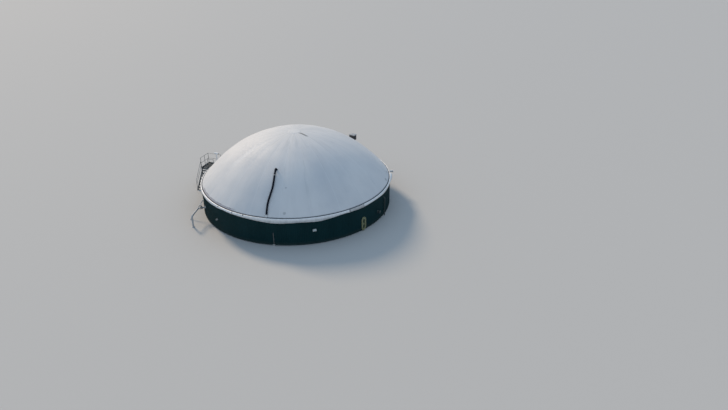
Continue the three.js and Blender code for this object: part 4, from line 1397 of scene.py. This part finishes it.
def relief_fittings(low, high):
    """Slots on two sides of the box, and a door with hinges and a handle on the other two."""
    inset, slot_inset, slot_tall = 0.04, 0.06, 0.05
    door_thick, hinge_long = 0.008, 0.06
    shell = Build(RELIEF_ANGLE)
    for side, face in ((-1, low.y), (1, high.y)):
        for z in steps(low.z + 0.1, low.z + 0.38, 4):
            louvre(shell, (low.x + slot_inset, z), (high.x - slot_inset, z + slot_tall), face, side)
    for x, side in ((low.x, -1), (high.x, 1)):
        hinge, grip = (x + side * 0.01, low.y + inset), (x + side * 0.02, high.y - 2 * inset)
        ends = sorted((x, x + side * door_thick))
        shell.box((ends[0], low.y + inset, low.z + inset), (ends[1], high.y - inset, high.z - 0.05))
        for z in (low.z + 0.12, high.z - 0.16):
            shell.rod((*hinge, z), (*hinge, z + hinge_long), 0.01)
        shell.rod((*grip, low.z + 0.22), (*grip, low.z + 0.34), 0.008)
        for z in (low.z + 0.23, low.z + 0.33):
            shell.rod((x, grip[1], z), (*grip, z), 0.007)
    shell.done("relief_fittings", DARK, "dark", 0.001)


def relief_device():
    """Slots, doors, lid with its grip, and bolts of the overpressure device."""
    low, high = local_box("relief_box", RELIEF_ANGLE)
    lid_low, lid_high = local_box("relief_lid", RELIEF_ANGLE)
    middle = (low + high) / 2
    relief_fittings(low, high)

    top = Build(RELIEF_ANGLE)
    inset = 0.05
    raised = (lid_high.x - inset, lid_high.y - inset, lid_high.z + 0.012)
    top.box((lid_low.x + inset, lid_low.y + inset, lid_high.z), raised)
    half_grip = [(0.09, 0), (0.09, 0.05), (0.06, 0.07)]
    sides = [(-side, up) for side, up in half_grip] + half_grip[::-1]
    grip = curve_through([Vector((middle.x, middle.y + side, lid_high.z + up)) for side, up in sides], 0.01)
    top.tube(grip, [0.008] * len(grip), 10)
    top.done("relief_lid_grip", GREY, "grey", 0.002)

    bolts = Build(RELIEF_ANGLE)
    for x in (lid_low.x + inset / 2, lid_high.x - inset / 2):
        for y in steps(lid_low.y + inset, lid_high.y - inset, 4):
            bolts.bolt((x, y, lid_high.z), UP, 0.008)
    bolts.bolt_ring((middle.x, middle.y, low.z - PLATE_THICK), -UP, RELIEF_PLATE - 0.025, 8, 0.011)
    wall_z = wall_height("relief_riser", RELIEF_ANGLE, RELIEF_PLATE)
    bolts.bolt_ring((PLATE_FACE, middle.y, wall_z), OUT, RELIEF_PLATE - 0.028)
    bolts.done("relief_bolts", BOLTS, "steel")


def vent():
    """Collars of the vent, and dark discs of painted shade in the openings of its tee behind crossed wires.
    """
    low, high = local_box("vent_head", VENT_ANGLE)
    z = high.z - TEE_RADIUS
    middle = (low.x + high.x) / 2
    wall_z = wall_height("vent_pipe", VENT_ANGLE, VENT_PLATE)
    rings = Build(VENT_ANGLE)
    mesh = Build(VENT_ANGLE)
    for x, outwards in ((low.x, -OUT), (high.x, OUT)):
        rings.band((x, 0, z), -outwards, TEE_RADIUS - 0.006, TEE_RADIUS + 0.005, 0.03, 28)
        # Dark disc of painted shade for the inside of the tee's open end
        mesh.disc((x, 0, z), outwards, TEE_RADIUS - 0.008, 0.001, 28)
    rings.band((middle, 0, z - TEE_RADIUS - 0.05), UP, VENT_PIPE + 0.002, VENT_PIPE + 0.01, 0.04, 28)
    for height in (0.35, 0.8):
        rings.band((middle, 0, wall_z + height), UP, VENT_PIPE - 0.001, VENT_PIPE + 0.006, 0.05, 28)
    rings.done("vent_collars", WHITE, "white")
    mesh.done("vent_openings_painted_shade", DARK, "dark")
    wires = Build(VENT_ANGLE)
    wire, pitch = 0.0012, 0.0145
    for x in (low.x - 0.003, high.x + 0.003):
        for i in range(-5, 6):
            shift = pitch * i
            reach = sqrt((TEE_RADIUS - 0.006) ** 2 - shift**2)
            wires.rod((x, shift, z - reach), (x, shift, z + reach), wire, 6)
            wires.rod((x, -reach, z + shift), (x, reach, z + shift), wire, 6)
    wires.bolt_ring((PLATE_FACE, 0, wall_z), OUT, VENT_PLATE - 0.028)
    wires.done("vent_mesh_wires", BOLTS, "steel")


# Service platform and its stair


def grating(build, low, high, bar_pitch=0.034, rod_pitch=0.1):
    """Bearing bars along X in an edge frame, with rods across them."""
    thick = 0.004
    for x in (low.x, high.x - thick):
        build.box((x, low.y, low.z), (x + thick, high.y, high.z))
    for y in (low.y, high.y - thick):
        build.box((low.x, y, low.z), (high.x, y + thick, high.z))
    half = thick / 2
    for y in steps(low.y, high.y, round((high.y - low.y) / bar_pitch))[1:-1]:
        corner = (high.x - thick, y + half, high.z - 0.001)
        build.box((low.x + thick, y - half, low.z + 0.002), corner)
    for x in steps(low.x, high.x, round((high.x - low.x) / rod_pitch))[1:-1]:
        build.box((x - 0.003, low.y + thick, high.z - 0.009), (x + 0.003, high.y - thick, high.z - 0.003))


def toe_boards(low, high, gate):
    """Upright boards along the deck's edges, with a gap from the gate on."""
    inset, thick, tall = 0.055, 0.005, 0.1
    x0, x1, y0, y1 = low.x + inset, high.x - inset, low.y + inset, high.y - inset
    plans = (((x1 - thick, y0), (x1, y1)), ((x0, y0), (x1, y0 + thick)), ((x0, y1 - thick), (gate, y1)))
    boards = Build(PLATFORM_ANGLE)
    for near, far in plans:
        boards.box((*near, high.z), (*far, high.z + tall))
    boards.done("toe_boards", WEATHERED_SHADED_STEEL, "steel", 0.001)


def platform():
    """Grating, toe boards, collars and caps of the posts, foot bolts and the wall plate."""
    low, high = local_box("platform_deck", PLATFORM_ANGLE)
    gate = local_box("stair_stringer_inner", PLATFORM_ANGLE)[0].x - 0.06
    deck = Build(PLATFORM_ANGLE)
    grating(deck, low, high)
    deck.done("deck_grating", WEATHERED_SHADED_STEEL, "steel", replaces=["platform_deck"])
    toe_boards(low, high, gate)

    inset = 0.03
    inner, outer, back, front = low.x + inset, high.x - inset, low.y + inset, high.y - inset
    posts = [(outer, front), (outer, (front + back) / 2), (outer, back), (inner, back), (inner, front),
             (gate, front)]
    fittings = Build(PLATFORM_ANGLE)
    rail_z = high.z + 1.1
    collar = [(0.029, 0), (0.029, 0.03), (0.022, 0.036)]
    cap = [(0.024, -0.02), (0.024, 0.022), (0.016, 0.03)]
    for post in posts:
        fittings.lathe((*post, high.z), UP, collar, 16)
        fittings.lathe((*post, rail_z), UP, cap, 16)
    leg, edge, foot_top = 0.08, 0.015, 0.015
    for x in (low.x, high.x - leg):
        for y in (low.y, high.y - leg):
            for corner_y in (y - edge, y + leg + edge):
                for corner_x in (x - edge, x + leg + edge):
                    fittings.bolt((corner_x, corner_y, foot_top), UP, 0.009)
    plate_half, plate_low, plate_top = 0.152, low.z - 0.22, low.z - 0.018
    fittings.box((SEAT, -plate_half, plate_low), (PLATE_FACE, plate_half, plate_top))
    for y in (0.032 - plate_half, plate_half - 0.032):
        for z in (plate_low + 0.04, plate_top - 0.032):
            fittings.bolt((PLATE_FACE, y, z), OUT, 0.012)
    fittings.done("platform_fittings", WEATHERED_SHADED_STEEL, "steel")


def stair():
    """Treads of grating with a nosing, their bolts, and the foot plates of the stringers."""
    inner = local_box("stair_stringer_inner", PLATFORM_ANGLE)
    outer = local_box("stair_stringer_outer", PLATFORM_ANGLE)
    bolts = Build(PLATFORM_ANGLE)
    for step in range(1, 8):
        name = f"stair_tread_{step}"
        low, high = local_box(name, PLATFORM_ANGLE)
        tread = Build(PLATFORM_ANGLE)
        grating(tread, low, high, 0.03, 0.08)
        nosing = (high.x - 0.004, high.y + 0.002, high.z + 0.002)
        tread.box((low.x + 0.004, high.y - 0.004, high.z - 0.03), nosing)
        tread.done(f"tread_grating_{step}", WEATHERED_SHADED_STEEL, "steel", replaces=[name])
        for y in (low.y + 0.04, high.y - 0.05):
            bolts.bolt((inner[0].x, y, high.z - 0.015), -OUT, 0.009)
            bolts.bolt((outer[1].x, y, high.z - 0.015), OUT, 0.009)
    foot = outer[1].y
    plate_long, plate_thick, inset = 0.24, 0.008, 0.03
    for low, high in (inner, outer):
        bolts.box((low.x - 0.05, foot - plate_long, 0), (high.x, foot, plate_thick))
        for x in (low.x - 0.035, low.x - 0.015):
            for y in (foot - plate_long + inset, foot - inset):
                bolts.bolt((x, y, plate_thick), UP, 0.008)
    bolts.done("stair_bolts", WEATHERED_SHADED_STEEL, "steel")


stubs()
relief_riser()
vent_riser()
substrate_line()
right_riser()
sloping_pipe()
gate_valve()
conduit()
junction_box()
hose_fittings()
riser_clips()
relief_device()
vent()
platform()
stair()
dress_nodes()


# Light and floor


def floor():
    mesh = bmesh.new()
    corners = ((-1, -1), (1, -1), (1, 1), (-1, 1))
    mesh.faces.new([mesh.verts.new((x * FLOOR_REACH, y * FLOOR_REACH, 0)) for x, y in corners])
    item = mesh_item(mesh, "floor", Paint("floor", roughness=0.9, color=FLOOR_TONE).finish())
    item.location.z = -FLOOR_SINK
    bpy.context.scene.collection.objects.link(item)


def light():
    """Even sky light, and the sun turned to its place."""
    world = bpy.data.worlds.new("sky")
    world.use_nodes = True
    background = world.node_tree.nodes["Background"]
    background.inputs["Color"].default_value = (*SKY_TONE, 1)
    background.inputs["Strength"].default_value = SKY_STRENGTH
    bpy.context.scene.world = world

    data = bpy.data.lights.new("key", "SUN")
    data.energy = SUN_STRENGTH
    data.color = SUN_TONE
    data.angle = radians(SUN_SOFT)
    item = bpy.data.objects.new("key", data)
    turn, height = in_radians(*SUN_PLACE)
    towards = round_point(cos(height), turn, sin(height))
    item.rotation_euler = towards.to_track_quat("Z", "Y").to_euler()
    bpy.context.scene.collection.objects.link(item)
    bpy.context.scene.view_settings.view_transform = "Standard"


floor()
light()
